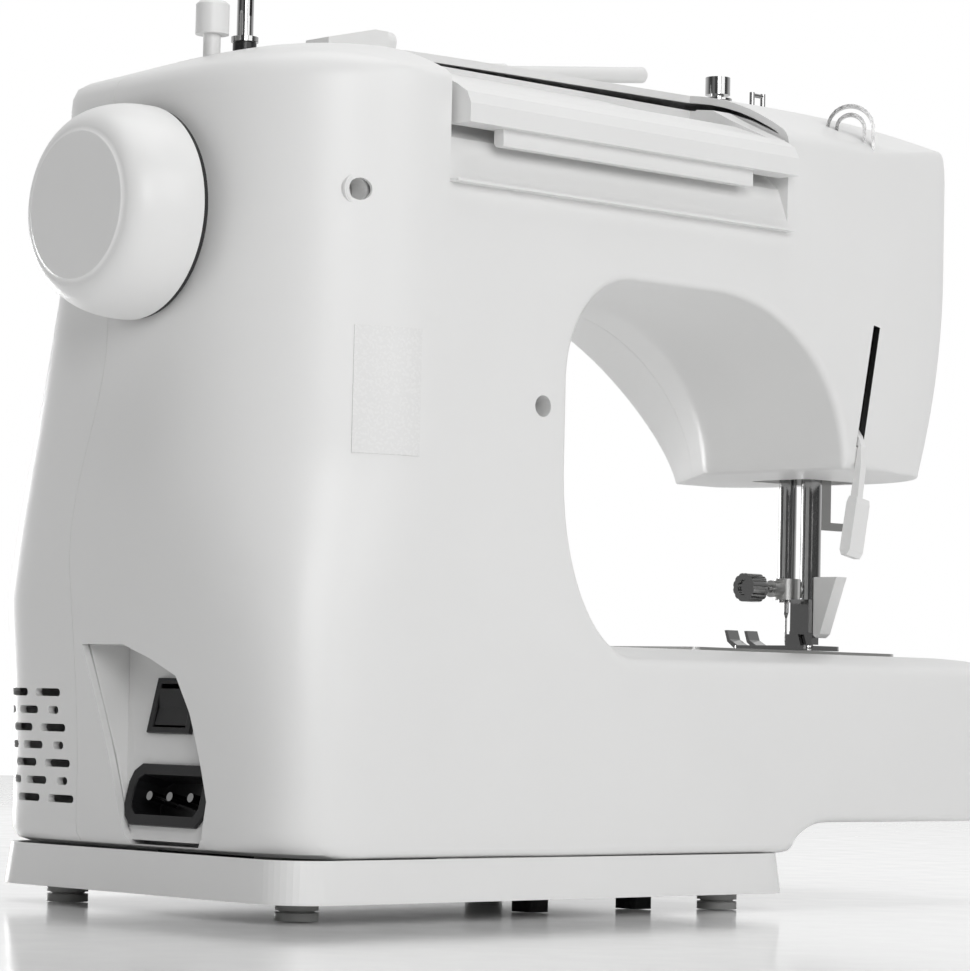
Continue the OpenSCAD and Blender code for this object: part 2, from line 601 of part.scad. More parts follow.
// ---- needle bar, presser bar and their pieces -----------------------------------------------
module crank_disc() {
    color("silver") difference() {
        union() {
            rod_x([-132, shaft_y, shaft_z], 8, 7);
            translate([-132, shaft_y, shaft_z]) rotate([0, 90, 0]) linear_extrude(5) difference() {
                circle(16);
                translate([2, -20]) square([20, 40]);
            }
            rod_x([-132, shaft_y, shaft_z - 11], 4.5, 5);
            rod_x([-135.5, shaft_y, shaft_z - 11], 3, 5);
        }
        rod_x([-133, shaft_y, shaft_z], 5, 10);
    }
}
module take_up_lever() {
    color("silver") difference() {
        along_x(-130.2, -127.8) {
            polygon([[take_up_at[0] - 5, take_up_at[1] - 3], [take_up_at[0] + 5, take_up_at[1] - 3],
                [take_up_at[0] + 3, take_up_at[1] + 6], [-50, 259], [-60, 262], [-66, 259], [-64, 254], [-52, 252]]);
            translate(take_up_at) circle(6);
        }
        rod_x([-135, take_up_at[0], take_up_at[1]], 2.05, 20);
        rod_x([-135, -60, 257.5], 1.3, 20);
    }
}
module bar_guides() {
    color("darkgray") difference() {
        union() {
            for (z = [163, 236]) box([needle_x - 8, needle_y - 6.5, z], [needle_x + 8, 28, z + 9]);
            box([needle_x - 8, 23, 163], [needle_x + 8, 28, 245]);
            // pin that the take-up lever rocks on
            box([-126.5, take_up_at[0] - 5, take_up_at[1] - 5], [-122, take_up_at[0] + 4, take_up_at[1] + 5]);
            rod_x([-131.5, take_up_at[0], take_up_at[1]], 2, 8);
            box([-126.5, take_up_at[0] + 3, take_up_at[1] + 14], [-122, 28, take_up_at[1] + 20]);
            box([-126.5, take_up_at[0] - 5, take_up_at[1] + 4], [-122, take_up_at[0] + 4, take_up_at[1] + 20]);
        }
        rod_z([needle_x, needle_y, 150], needle_bar_r + 0.05, 110);
        rod_z([needle_x, presser_y, 150], presser_bar_r + 0.05, 110);
    }
}
module needle_bar() {
    color("silver") difference() {
        rod_z([needle_x, needle_y, 111], needle_bar_r, 147);
        rod_z([needle_x, needle_y, 110], 1.1, 12);
    }
}
module needle_clamp() {
    color("dimgray") difference() {
        union() {
            rod_z([needle_x, needle_y, 112], 5.2, 8);
            rod_x([needle_x + 3, needle_y, 116], 3.2, 6);
        }
        rod_z([needle_x, needle_y, 111], needle_bar_r, 10);
        rod_x([needle_x + 2, needle_y, 116], 1.5, 10);
    }
}
module clamp_screw() {
    color("silver") {
        rod_x([needle_x + 3.5, needle_y, 116], 1.45, 14);
        difference() {
            rod_x([needle_x + 16, needle_y, 116], 5.4, 8);
            for (i = [0:11]) translate([needle_x + 15, needle_y, 116]) rotate([i * 30, 0, 0])
                rod_x([0, 0, 6.2], 1.1, 12);
            rod_x([needle_x + 23, needle_y, 116], 3, 2);
        }
    }
}
module needle() {
    color("silver") {
        rod_z([needle_x, needle_y, needle_blade_z + 2], 1.02, 119 - needle_blade_z);
        translate([needle_x, needle_y, needle_blade_z]) cylinder(r1 = 0.45, r2 = 1.02, h = 2);
        rod_z([needle_x, needle_y, tip_z + 3], 0.45, needle_blade_z - tip_z - 3);
        translate([needle_x, needle_y, tip_z]) cylinder(r1 = 0.08, r2 = 0.45, h = 3);
    }
}
module presser_bar() { color("silver") rod_z([needle_x, presser_y, 104], presser_bar_r, 150); }
module presser_shank() {
    color("silver") difference() {
        union() {
            box([needle_x - 5.2, presser_y - 5.2, 99.5], [needle_x + 5.2, presser_y + 4.2, 112]);
            box([needle_x - 1.9, foot_pin[0] - 3, 95], [needle_x + 1.9, presser_y + 3, 100]);
        }
        rod_z([needle_x, presser_y, 103], presser_bar_r, 12);
        rod_x([needle_x - 4, foot_pin[0], foot_pin[1]], 1.06, 8);
        rod_x([needle_x - 8, presser_y - 1, 108], 1.6, 3.4);
        rod_x([needle_x - 8, presser_y - 1, 103], 1.2, 3.4);
    }
}
module shank_lever() {
    y = presser_y;
    color("lightgray") along_x(needle_x - 3, needle_x + 3) polygon([[y + 4.4, 120.5], [y + 16, 120.5],
        [y + 15, 118], [y + 8, 99], [y + 6, 97.5], [y + 4.4, 98.5]]);
}
// Zigzag foot: sole with two turned-up toes, a needle slot, and ears for the pin
module presser_foot() {
    x = needle_x;
    color("silver") {
        difference() {
            union() {
                rounded_plate([x - 9.5, -14, sole_z], [x + 9.5, 25, sole_z + 1.8], 2.5);
                for (s = [-1, 1]) along_x(s < 0 ? x - 8.5 : x + 2.5, s < 0 ? x - 2.5 : x + 8.5)
                    polygon([[-13, sole_z], [-17.5, sole_z + 3.2], [-19, sole_z + 7.5], [-17.6, sole_z + 7.6],
                        [-16.2, sole_z + 4], [-12, sole_z + 1.8]]);
            }
            rounded_plate([x - 3.6, 2.8, sole_z - 1], [x + 3.6, 7.2, sole_z + 3], 2);
            box([x - 1.6, -20, sole_z - 1], [x + 1.6, 4, sole_z + 3]);
        }
        for (s = [-3.6, 2.2]) along_x(x + s, x + s + 1.4) polygon([[8, sole_z + 1.7],
                [16, sole_z + 1.7], [14.5, foot_pin[1] + 1.9], [8.6, foot_pin[1] + 1.9]]);
        rod_x([x - 3.6, foot_pin[0], foot_pin[1]], 1, 7.2);
    }
}
module presser_lifter() {
    color("white") lifter_frame() difference() {
        union() {
            rod_x([-3.5, 0, 0], 5, 7);
            along_x(-1.4, 1.4) polygon([[-3.5, 2], [3, 4], [7, -4], [10, -24], [12.6, -26.8],
                [15, -31], [16.2, -38], [16.8, -48], [17, -56], [13.4, -56], [13.4, -31.1],
                [9.8, -30.9], [6.2, -27], [3, -12]]);
            // pad for the finger
            along_x(-5.6, 1.7) polygon([[16.6, -50], [17, -52], [17, -69.5], [16, -71.5],
                [13.2, -71.5], [12.1, -69.5], [12.1, -52], [13, -49.6]]);
        }
        rod_x([-5, 0, 0], 2.05, 10);
    }
}
module needle_threader() {
    color("gray") {
        box([needle_x - 14.5, needle_y + 7, 139], [needle_x - 9, needle_y + 9, 196]);
        box([needle_x - 22, needle_y + 7, 139], [needle_x - 9, needle_y + 9, 142]);
    }
}

// ---- needle plate, feed and hook ------------------------------------------------------------
module needle_plate() {
    x = needle_x;
    color("silver") difference() {
        rounded_plate([x - 38, -33, bed_z], [x + 76, 29, plate_z], 5);
        rounded_plate([x - 3.5, needle_y - 0.8, 80], [x + 3.5, needle_y + 0.8, 100], 0.79);
        for (s = feed_rows) box([x + s[0] - 0.5, s[1] - 2.2, 80], [x + s[0] + 3.5, s[2] + 2.2, 100]);
        rod_z([x + 44, -24, 80], 1.8, 20);
        rod_z([x + 44, 21, 80], 1.8, 20);
    }
}
module feed_dog() {
    color("gray") {
        for (s = feed_rows) {
            box([needle_x + s[0], s[1], 84], [needle_x + s[0] + 3, s[2], bed_z]);
            for (y = [s[1]:2.2:s[2] - 2]) along_x(needle_x + s[0], needle_x + s[0] + 3)
                polygon([[y, bed_z - 0.1], [y + 2, bed_z - 0.1], [y + 1.4, plate_z - 0.2]]);
        }
        box([needle_x - 8, 19, 81], [needle_x + 8, 24, 87]);
    }
}
module hook_race() {
    y0 = -18;
    color("darkgray") {
        difference() {
            rod_y([needle_x, y0, hook_z], 22, 21);
            rod_y([needle_x, y0 - 1, hook_z], 18.2, 23);
            // the needle and the thread pass here
            box([needle_x - 9, y0 - 1, hook_z + 10], [needle_x + 9, 10, hook_z + 30]);
        }
        box([needle_x - 22, 2, hook_z - 6], [needle_x - 18.4, 28, hook_z + 6]);
        box([needle_x - 6, 2, hook_z - 22], [needle_x + 6, 28, hook_z - 18.6]);
        // bearing of the hook's shaft
        difference() {
            union() {
                rod_y([needle_x, 22, hook_z], 6, 6);
                box([needle_x - 5, 22, 38], [needle_x + 5, 28, hook_z]);
            }
            rod_y([needle_x, 21, hook_z], 3.04, 8);
        }
    }
}
module shuttle_hook() {
    color("silver") {
        difference() {
            rod_y([needle_x, -15, hook_z], 17.8, 16);
            rod_y([needle_x, -16, hook_z], 11.2, 13);
            // beak: the rim is cut away past the hook's point
            along_y(-20, -4) polygon([[needle_x, hook_z], [needle_x + 6, hook_z + 30],
                [needle_x + 30, hook_z + 22], [needle_x + 24, hook_z + 2]]);
        }
        rod_y([needle_x, -4, hook_z], 2, 1.5);
        rod_y([needle_x, 0, hook_z], 3, 28);
        translate([needle_x, 6, hook_z]) rotate([-90, 0, 0]) cylinder(r1 = 9.4, r2 = 5.4, h = 4);
    }
}
module bobbin() {
    color("lightgray") difference() {
        union() {
            rod_y([needle_x, -14, hook_z], 10, 1);
            rod_y([needle_x, -5, hook_z], 10, 1);
            rod_y([needle_x, -13.5, hook_z], 4, 9);
        }
        rod_y([needle_x, -15, hook_z], 2.9, 13);
        for (i = [0:5]) rotate_hook(i * 60) rod_y([needle_x + 7, -15, hook_z], 1.2, 13);
    }
}
module rotate_hook(a) {
    translate([needle_x, 0, hook_z]) rotate([0, a, 0]) translate([-needle_x, 0, -hook_z]) children();
}
module hook_cover() {
    y0 = -42;
    color("whitesmoke") {
        box([needle_x - 26, y0, 38.6], [needle_x + 26, y0 + 2.2, 79]);
        rod_x([needle_x - 26, y0 + 1.3, 38], 1.25, 52);
        rod_x([needle_x - 28.5, y0 + 1.3, 38], 0.7, 57);
        // ridge for the thumb
        along_x(needle_x - 10, needle_x + 10) polygon([[y0 + 0.1, 74], [y0 - 1.6, 75], [y0 - 1.6, 76.6], [y0 + 0.1, 77]]);
    }
}

// ---- power inlet ----------------------------------------------------------------------------
module switch_body(w0, w1, g) {
    box([w0, -8 - g, 8.2 - g], [w1, 14.6 + g, 26.8 + g]);
}
module socket_body(w0, w1, g) {
    translate([w0, 0, 0]) rotate([90, 0, 90]) linear_extrude(w1 - w0)
        polygon([[-11.3 - g, -16 - g * 0.4], [-9.8 - g * 0.8, -19.8 - g * 0.8],
            [-6.5 - g * 0.6, -22.7 - g], [27.5 + g * 0.6, -22.7 - g], [31 + g, -18.5 - g * 0.6],
            [31 + g, -5.5 + g * 0.6], [28 + g * 0.6, -2.1 + g], [-6 - g * 0.6, -2.1 + g],
            [-9.8 - g * 0.8, -4.6 + g * 0.8], [-11.3 - g, -8.5 + g * 0.4]]);
}
module socket_panel() {
    color("gainsboro") difference() {
        intersection() {
            inlet_space(2.3);
            // stops just behind the covers' inside
            along_y(-60, 60) polygon([[100, 15], [157.1, 15], [157.1, 50], [160, 88], [100, 99]]);
        }
        inlet_space(0);
        on_floor() switch_body(-20, 20, -1.5);
        on_floor() socket_body(-20, 20, -1.5);
    }
}
module power_socket() {
    color("black") on_floor() {
        difference() {
            union() {
                socket_body(0.02, 1.4, 0);
                socket_body(-13, 0.5, -1.6);
            }
            socket_body(-11, 3, -3.6);
            for (y = pin_rows) rod_x([-14, y, -12.5], 1.5, 6);
        }
    }
}
module socket_pins() { color("silver") on_floor() for (y = pin_rows) rod_x([-15, y, -12.5], 1.5, 15); }
module switch_bezel() {
    color("black") on_floor() difference() {
        union() {
            switch_body(0.02, 1.6, 0);
            switch_body(-12, 0.5, -1.6);
        }
        box([-10, -5.2, 10.2], [5, 11.8, 24.8]);
        rod_y([rocker_at[0], -7, rocker_at[1]], 1.05, 20);
    }
}
module power_switch() {
    color("dimgray") on_floor() translate([rocker_at[0], 0, rocker_at[1]]) rotate([0, 6, 0]) {
        rotate([90, 0, 0]) translate([0, 0, -11.5]) linear_extrude(16.4)
            polygon([[-2.5, -2], [2.6, -6], [5.3, -6], [4.4, 0], [5.3, 6], [2.6, 6], [-2.5, 2]]);
        rod_y([0, -6.6, 0], 1, 19.8);
    }
}

// ---- controls on the front ------------------------------------------------------------------
// Knob on a stem: a ribbed cap from y1 forward to y0, its stem back to y2
module knob(at, r, stem, y0, y1, y2) {
    rod_y([at[0], y0 + 1, at[1]], r, y1 - y0 - 1);
    translate([at[0], y0, at[1]]) rotate([-90, 0, 0]) cylinder(r1 = r - 1, r2 = r, h = 1);
    rod_y([at[0], y1 - 0.5, at[1]], stem, y2 - y1 + 0.5);
    box([at[0] - r * 0.16, y0 - 2, at[1] - r * 0.8], [at[0] + r * 0.16, y0 + 1, at[1] + r * 0.8]);
}
module pattern_dial() { color("white") knob(dial_at, 20, 5.8, -73, -63, -44); }
module length_dial() { color("white") knob(length_at, 10, 3.8, -57, -48.5, -36); }
module tension_dial() { color("white") knob(tension_at, 12, 4.8, -56, -48.5, -36); }
module reverse_lever() {
    x = reverse_at[0];
    z = reverse_at[1];
    color("white") {
        along_x(x - 5.5, x + 5.5) polygon([[-58, z - 3], [-58, z + 3], [-66, z + 4], [-80, z + 4.6],
            [-83.5, z + 3], [-83.5, z - 4], [-81, z - 5], [-66, z - 4]]);
        rod_x([x - 5.5, -62, z], 5, 11);
        rod_x([x - 13, -62, z], 2, 26);
    }
}

// ---- on top ---------------------------------------------------------------------------------
module winder_carriage() {
    color("gray") {
        box([winder_at[0] - 8, winder_at[1] - 6, 272.3], [winder_at[0] + 4, winder_at[1] + 6, 276]);
        difference() {
            rod_z([winder_at[0], winder_at[1], 275], 4, 14);
            rod_z([winder_at[0], winder_at[1], 280], 2.04, 12);
        }
    }
}
module winder_spindle() {
    color("silver") difference() {
        union() {
            rod_z([winder_at[0], winder_at[1], 280.3], 2, 10);
            rod_z([winder_at[0], winder_at[1], 289.3], 4.6, 1.7);
            rod_z([winder_at[0], winder_at[1], 290], 2.8, 21);
            translate([winder_at[0], winder_at[1], 311]) cylinder(r1 = 2.8, r2 = 1.6, h = 1);
        }
        box([winder_at[0] - 0.5, winder_at[1] - 4, 298], [winder_at[0] + 0.5, winder_at[1] + 4, 314]);
    }
}
module winder_stop() {
    color("white") {
        rod_z([141, winder_at[1], 278], 2.9, 16);
        rod_z([141, winder_at[1], 290], 5.6, 10);
        translate([141, winder_at[1], 300]) cylinder(r1 = 5.6, r2 = 4.6, h = 1);
    }
}
module spool_pin() {
    color("white") {
        rod_z([reel_root[0] - 3, reel_root[1], 280], 3.1, 16.4);
        rod_z([reel_root[0] - 3, reel_root[1], 293.1], 4.5, 1);
        translate(reel_root) rotate([0, reel_tilt - 90, 0]) {
            cylinder(r = 3.8, h = reel_shoulder);
            translate([0, 0, reel_shoulder - 1]) cylinder(r = 3, h = reel_l - reel_shoulder);
            translate([0, 0, reel_l - 1]) cylinder(r1 = 3, r2 = 2.2, h = 1);
        }
    }
}
// Sloping block beside the reel's rod, with a drum at its high end
module reel_rest() {
    color("white") {
        rod_z([88, 5, 280], 2.5, 14);
        along_y(-1, 11) polygon([[97, 290.9], [97, 294.6], [76, 300], [70, 300], [70, 292.2]]);
        rod_x([64.5, 5, 297.2], 4.1, 6);
    }
}
module tension_seat() {
    color("white") translate([thread_knob_at[0], thread_knob_at[1], 294.5]) difference() {
        cylinder(r1 = 8.8, r2 = 5, h = 3.9);
        translate([0, 0, -1]) cylinder(r = 2.55, h = 6);
    }
}
module thread_tension_knob() {
    color("silver") {
        rod_z([thread_knob_at[0], thread_knob_at[1], 280], 2.5, 22);
        rod_z([thread_knob_at[0], thread_knob_at[1], 298.8], 5.4, 0.8);
        rod_z([thread_knob_at[0], thread_knob_at[1], 301], 4.7, 6.6);
    }
}
module thread_guides() {
    color("silver") {
        rod_z([-128, 3, 284], 1, 20.6);
        rod_x([-128, 3, 303.6], 0.8, 6);
        rod_z([-122, 3, 297.6], 1, 7);
    }
}
module hoop_frame() { translate(hoop_at) rotate([0, 0, 132.5]) children(); }
// Legs of the thread hoop: [x in its own frame, depth of the foot]; g: slack of their slots
module hoop_legs(g) {
    hoop_frame() for (leg = [[-8.2, -1.8], [-5, -2.8], [5, -6.8], [8.2, -9]])
        box([leg[0] - 0.6 - g, -1.5 - g, leg[1] - g], [leg[0] + 0.6 + g, 1.5 + g, g > 0 ? 2.6 : eps]);
}
// Two arched bands that steer the thread round the corner of the arm
module thread_hoop() {
    color("silver") {
        hoop_frame() for (r = [5, 8.2]) rotate([90, 0, 0]) translate([0, 0, -1.5])
            linear_extrude(3) intersection() {
                difference() { circle(r + 0.6); circle(r - 0.6); }
                translate([-12, 0]) square([24, 12]);
            }
        hoop_legs(0);
    }
}
module lamp() {
    color("ivory") {
        rod_z([-165.3, 10, 163], 5, 16);
        rod_z([-165.3, 10, 178], 4, 12);
    }
}

rear_shell();
front_shell();
bed_cover();
base_tray();
rubber_feet();
support_pads();
handle_well();
carry_handle();
handle_screw();
shell_screws();
arm_frame();
socket_panel();
power_socket();
socket_pins();
switch_bezel();
power_switch();
handwheel();
main_shaft();
shaft_bushes();
belt_wheel();
upper_timing_wheel();
timing_belt();
lower_timing_wheel();
lower_shaft();
motor();
motor_pulley();
drive_belt();
crank_disc();
take_up_lever();
needle_bar();
needle_clamp();
clamp_screw();
needle();
bar_guides();
presser_bar();
presser_shank();
shank_lever();
presser_foot();
presser_lifter();
needle_threader();
needle_plate();
feed_dog();
hook_race();
shuttle_hook();
bobbin();
hook_cover();
pattern_dial();
length_dial();
reverse_lever();
tension_dial();
winder_carriage();
winder_spindle();
winder_stop();
spool_pin();
reel_rest();
tension_seat();
thread_tension_knob();
thread_guides();
thread_hoop();
lamp();
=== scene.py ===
# %% [markdown]
# # Dressing a free-arm sewing machine
#
# The machine is an assembly of named solids in one frame: the origin is the middle of its
# footprint on the table, +X is the handwheel side, -Y faces the person who sews and +Z is up.
# This script loads that frame, rebuilds the moulded covers as smooth surfaces from formulas,
# gives every piece a node-based material, and sets up the camera, the table and the lights.
# All lengths inside the form functions are millimetres; `MM` turns them into metres.

# %% Load the frame
import json
import math

import bmesh
import bpy
import numpy as np
from mathutils import Matrix, Vector


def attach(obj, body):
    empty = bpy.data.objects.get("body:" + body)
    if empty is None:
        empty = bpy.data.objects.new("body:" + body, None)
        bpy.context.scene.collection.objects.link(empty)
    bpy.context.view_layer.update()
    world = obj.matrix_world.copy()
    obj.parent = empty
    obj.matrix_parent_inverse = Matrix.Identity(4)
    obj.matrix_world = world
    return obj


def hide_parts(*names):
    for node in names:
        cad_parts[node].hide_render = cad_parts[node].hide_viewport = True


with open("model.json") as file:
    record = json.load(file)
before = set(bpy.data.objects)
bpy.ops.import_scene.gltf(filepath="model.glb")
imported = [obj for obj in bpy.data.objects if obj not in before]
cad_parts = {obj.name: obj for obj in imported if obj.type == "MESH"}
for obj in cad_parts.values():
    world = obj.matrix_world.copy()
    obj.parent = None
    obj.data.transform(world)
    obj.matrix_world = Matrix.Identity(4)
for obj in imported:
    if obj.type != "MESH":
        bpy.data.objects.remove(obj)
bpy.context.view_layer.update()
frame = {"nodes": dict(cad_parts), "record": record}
MM = 0.001

# %% [markdown]
# ## The camera
#
# A long lens looks at the machine from behind its handwheel side, from a little below the
# middle of the arm and turned slightly upwards. `TURN` is the angle between the line of sight
# and the -Y direction, `TILT` how far it looks up and `ROLL` how far the camera leans.

# %% Camera
TURN, TILT, ROLL = math.radians(43), math.radians(3.33), 0.022
FOCAL_PIXELS, PICTURE_PIXELS = 3700, 971


def make_camera(place):
    """Camera at `place`, with axes right, up and back worked out from the three angles."""
    forward = Vector((-math.sin(TURN) * math.cos(TILT), -math.cos(TURN) * math.cos(TILT), math.sin(TILT)))
    level = forward.cross(Vector((0, 0, 1))).normalized()
    down = forward.cross(level)
    right = level * math.cos(ROLL) - down * math.sin(ROLL)
    up = -(level * math.sin(ROLL) + down * math.cos(ROLL))
    data = bpy.data.cameras.new("camera")
    data.sensor_width = 36
    data.lens = FOCAL_PIXELS * 36 / PICTURE_PIXELS
    data.clip_start, data.clip_end = 0.05, 30
    camera = bpy.data.objects.new("camera", data)
    bpy.context.scene.collection.objects.link(camera)
    turn = Matrix((right, up, -forward)).transposed().to_4x4()
    camera.matrix_world = Matrix.Translation(place) @ turn
    bpy.context.scene.camera = camera
    return camera


camera = make_camera(Vector((0.9034, 0.9583, 0.0711)))
bpy.context.scene.view_settings.view_transform = "Standard"
print("lens:", round(camera.data.lens, 1), "mm")

# %% [markdown]
# ## Helpers that turn arrays into pieces
#
# A surface is computed as arrays of points and quads, and written to a mesh in one call.

# %% Mesh helpers
def closed_mesh(name, points, quads, ends=()):
    """Mesh from points (mm), quads and a few larger end faces; its faces are flipped if its signed
    volume V = 1/6 sum a.(b x c) over its quads' triangles is negative."""
    points = np.asarray(points, float) * MM
    quads = np.asarray(quads, int)
    faces = [quads, *(np.asarray(e, int)[None] for e in ends)]
    tris = np.concatenate([quads[:, [0, 1, 2]], quads[:, [0, 2, 3]]])
    a, b, c = points[tris[:, 0]], points[tris[:, 1]], points[tris[:, 2]]
    if np.einsum("ij,ij->i", a, np.cross(b, c)).sum() < 0:
        faces = [f[:, ::-1] for f in faces]
    loops = np.concatenate([f.ravel() for f in faces])
    sizes = np.concatenate([np.full(len(f), f.shape[1]) for f in faces])
    mesh = bpy.data.meshes.new(name)
    mesh.vertices.add(len(points))
    mesh.vertices.foreach_set("co", points.ravel())
    mesh.loops.add(len(loops))
    mesh.loops.foreach_set("vertex_index", loops)
    mesh.polygons.add(len(sizes))
    mesh.polygons.foreach_set("loop_start", np.cumsum(sizes) - sizes)
    mesh.update(calc_edges=True)
    mesh.validate()
    return mesh


def piece(name, mesh, body, slot, *nodes, angle=35, look=None):
    """Object from a mesh, smooth except at edges over `angle`, riding on a body. `look` is the
    material where it isn't the slot's own."""
    mesh.shade_smooth()
    mesh.set_sharp_from_angle(angle=math.radians(angle))
    obj = bpy.data.objects.new(name, mesh)
    bpy.context.scene.collection.objects.link(obj)
    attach(obj, body)
    if nodes:
        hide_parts(*nodes)
    obj.data.materials.append(material[look or slot])
    return obj


def grid_quads(rows, columns, start=0, close=False):
    """Quads between successive rows of a rows x columns grid of points, numbered row by row."""
    last = columns if close else columns - 1
    r, c = np.meshgrid(np.arange(rows - 1), np.arange(last), indexing="ij")
    a, b = r * columns + c, r * columns + (c + 1) % columns
    return (np.stack([a, b, b + columns, a + columns], -1) + start).reshape(-1, 4)


def prism(outline, axis, low, high):
    """Closed prism: an outline in the two other axes, run along `axis` from low to high."""
    outline = np.asarray(outline, float)
    bm = bmesh.new()
    order = [k for k in range(3) if k != axis]
    rings = []
    for value in (low, high):
        points = np.zeros((len(outline), 3))
        points[:, order] = outline
        points[:, axis] = value
        rings.append([bm.verts.new(p * MM) for p in points])
    n = len(outline)
    for k in range(n):
        bm.faces.new([rings[0][k], rings[0][(k + 1) % n], rings[1][(k + 1) % n], rings[1][k]])
    bm.faces.new(rings[0])
    bm.faces.new(rings[1][::-1])
    bmesh.ops.recalc_face_normals(bm, faces=bm.faces)
    mesh = bpy.data.meshes.new("prism")
    bm.to_mesh(mesh)
    bm.free()
    return mesh


def disc(centre, radius, count=64):
    """Points of a circle."""
    t = np.arange(count) * 2 * np.pi / count
    return np.stack([centre[0] + radius * np.cos(t), centre[1] + radius * np.sin(t)], -1)


def cut(mesh, cutters):
    """Mesh with the cutter meshes taken away from it."""
    bm = bmesh.new()
    for cutter in cutters:
        bm.from_mesh(cutter)
    tool_mesh = bpy.data.meshes.new("cutters")
    bm.to_mesh(tool_mesh)
    bm.free()
    body = bpy.data.objects.new("cut_body", mesh)
    tool = bpy.data.objects.new("cut_tool", tool_mesh)
    for obj in (body, tool):
        bpy.context.scene.collection.objects.link(obj)
    boolean = body.modifiers.new("cut", "BOOLEAN")
    boolean.object, boolean.operation, boolean.solver = tool, "DIFFERENCE", "EXACT"
    bpy.context.view_layer.update()
    evaluated = body.evaluated_get(bpy.context.evaluated_depsgraph_get())
    result = bpy.data.meshes.new_from_object(evaluated)
    for obj in (body, tool):
        bpy.data.objects.remove(obj)
    return result


print("helpers ready")

# %% [markdown]
# ## The form of the covers
#
# The covers are lofts across the depth. At any depth y the section is a closed outline in x and
# z, made of pairs of a point on the throat side and a point on the outside. Both are formulas of
# y, so the head, the swelling foot and the domed top come out of the same few functions.

# %% Form of the covers
REAR, FRONT, PART = 77.0, -48.0, -14.0
SHAFT_Y, SHAFT_Z = 5.0, 227.0
EDGE, DOME = 274.5, 18.5
HEAD_LOW, ARM_LOW, PILLAR = 157.0, 214.5, 44.0
TIP, BED, FREE_LOW, SEAM = -197.0, 91.2, 30.5, 20.0
BASE_LEFT = -74.0
WALL, RIM = 2.6, 3.2


def smooth(t):
    c = np.clip(t, 0, 1)
    return c * c * (3 - 2 * c)


def mix(a, b, f):
    return a + (b - a) * f


def quarter(t, n):
    """Quarter superellipse: (1 - t^n)^(1/n)."""
    return np.maximum(0, 1 - np.clip(t, 0, 1) ** n) ** (1 / n)


def front_y(x, z):
    """Front face: slightly crowned along the arm, swelling forward down the pillar."""
    crown = 1.4 * np.clip((225 - z) / 70, -1, 1) ** 2
    return FRONT + crown - 36 * np.clip((220 - z) / 118, 0, 1) ** 1.15 * smooth((x + 20) / 60)


def side_x(y, z):
    """Right side of the pillar: a quarter superellipse in plan, squarer towards the base."""
    f = smooth((z - 40) / 110)
    a = mix(51, 58.7, f)
    back = quarter((y - SHAFT_Y) / (REAR - SHAFT_Y), mix(5, 2, f))
    front = quarter((SHAFT_Y - y) / (SHAFT_Y + 2 - front_y(160, z)), 7)
    return 109.3 + a * np.where(y > SHAFT_Y, back, front)


def head_x(y, z):
    """Left end of the head, drawn in towards its underside."""
    a = 80 - 18 * np.clip((235 - z) / 77, 0, 1.02) ** 2
    back = quarter((y - 22) / (REAR - 22), 2)
    front = quarter((22 - y) / (25 - FRONT), 4)
    return -110 - a * np.where(y > 22, back, front)


def tip_x(y):
    """Left end of the free arm."""
    return np.where(y > 22, -150 + (TIP + 150) * quarter((y - 22) / (REAR - 22), 5), TIP)


def top_z(x, y):
    """Domed top: EDGE plus a dome that fades towards the rear, the front and both ends."""
    across = 1 - np.clip(np.abs(y - 8) / (REAR - 8), 0, 1) ** 2.4
    along = 1 - np.clip(np.abs(x + 15) / 178, 0, 1) ** 6
    return EDGE + (DOME - 0.015 * x) * across * along


def bed_top(y):
    return BED - 5 * np.clip((y - 30) / 47, 0, 1) ** 2.5


def parting(x, z):
    """Depth of the joint line between the rear and front covers."""
    return PART - 20 * smooth((190 - z) / 80) * smooth((x - 46) / 30)


def sweep(t, y):
    """Underside of the arm sweeping down to the head; t runs from 0 to 90 degrees."""
    m = np.clip((7 - y) / 55, 0, 1)
    n = mix(2, 1.3, m)
    s, c = np.sin(np.radians(t)), np.cos(np.radians(np.minimum(t, 90)))
    return -28 - 32 * m - (67 + 9 * m) * s ** (2 / n), HEAD_LOW + 57.5 * np.maximum(c, 0) ** (2 / n)


CORNER_R = 36.3
CORNER, ROOF, TIP_BOW = (PILLAR - CORNER_R, 148.2), 0.93, 1.2
KEEP_REAR, KEEP_FRONT = 0.4, 0.3
DEPTH_REAR, DEPTH_FRONT = 91.0, 34.0
LEVELS_REAR, LEVELS_FRONT = 24, 18
STEP_T = [0, 0.16, 0.28, 0.42, 1]
STEP_TOP = [-86, -76, -68, -58, -25]
STEP_LOW = ([-86, -78.5, -73, -71, -20], [FREE_LOW, 28, 24.5, SEAM, SEAM])


def flat(x, y):
    """x as an array of y's shape."""
    return x + 0 * y


def tip_end(t, y, outer):
    z = mix(60, FREE_LOW, t) if outer else mix(60, bed_top(y), t)
    return tip_x(y) + TIP_BOW * t**2, z + 0 * y


def free_arm(t, y, outer):
    return mix(tip_x(y) + TIP_BOW, BASE_LEFT - 12, t), flat(FREE_LOW, y) if outer else bed_top(y)


def base_step(t, y, outer):
    if outer:
        return flat(np.interp(t, STEP_T, STEP_LOW[0]), y), flat(np.interp(t, STEP_T, STEP_LOW[1]), y)
    return flat(np.interp(t, STEP_T, STEP_TOP), y), bed_top(y)


def bed_right(t, y, outer):
    if outer:
        return flat(mix(-20, PILLAR - 10, t), y), flat(SEAM, y)
    return flat(mix(-25, CORNER[0], t), y), bed_top(y)


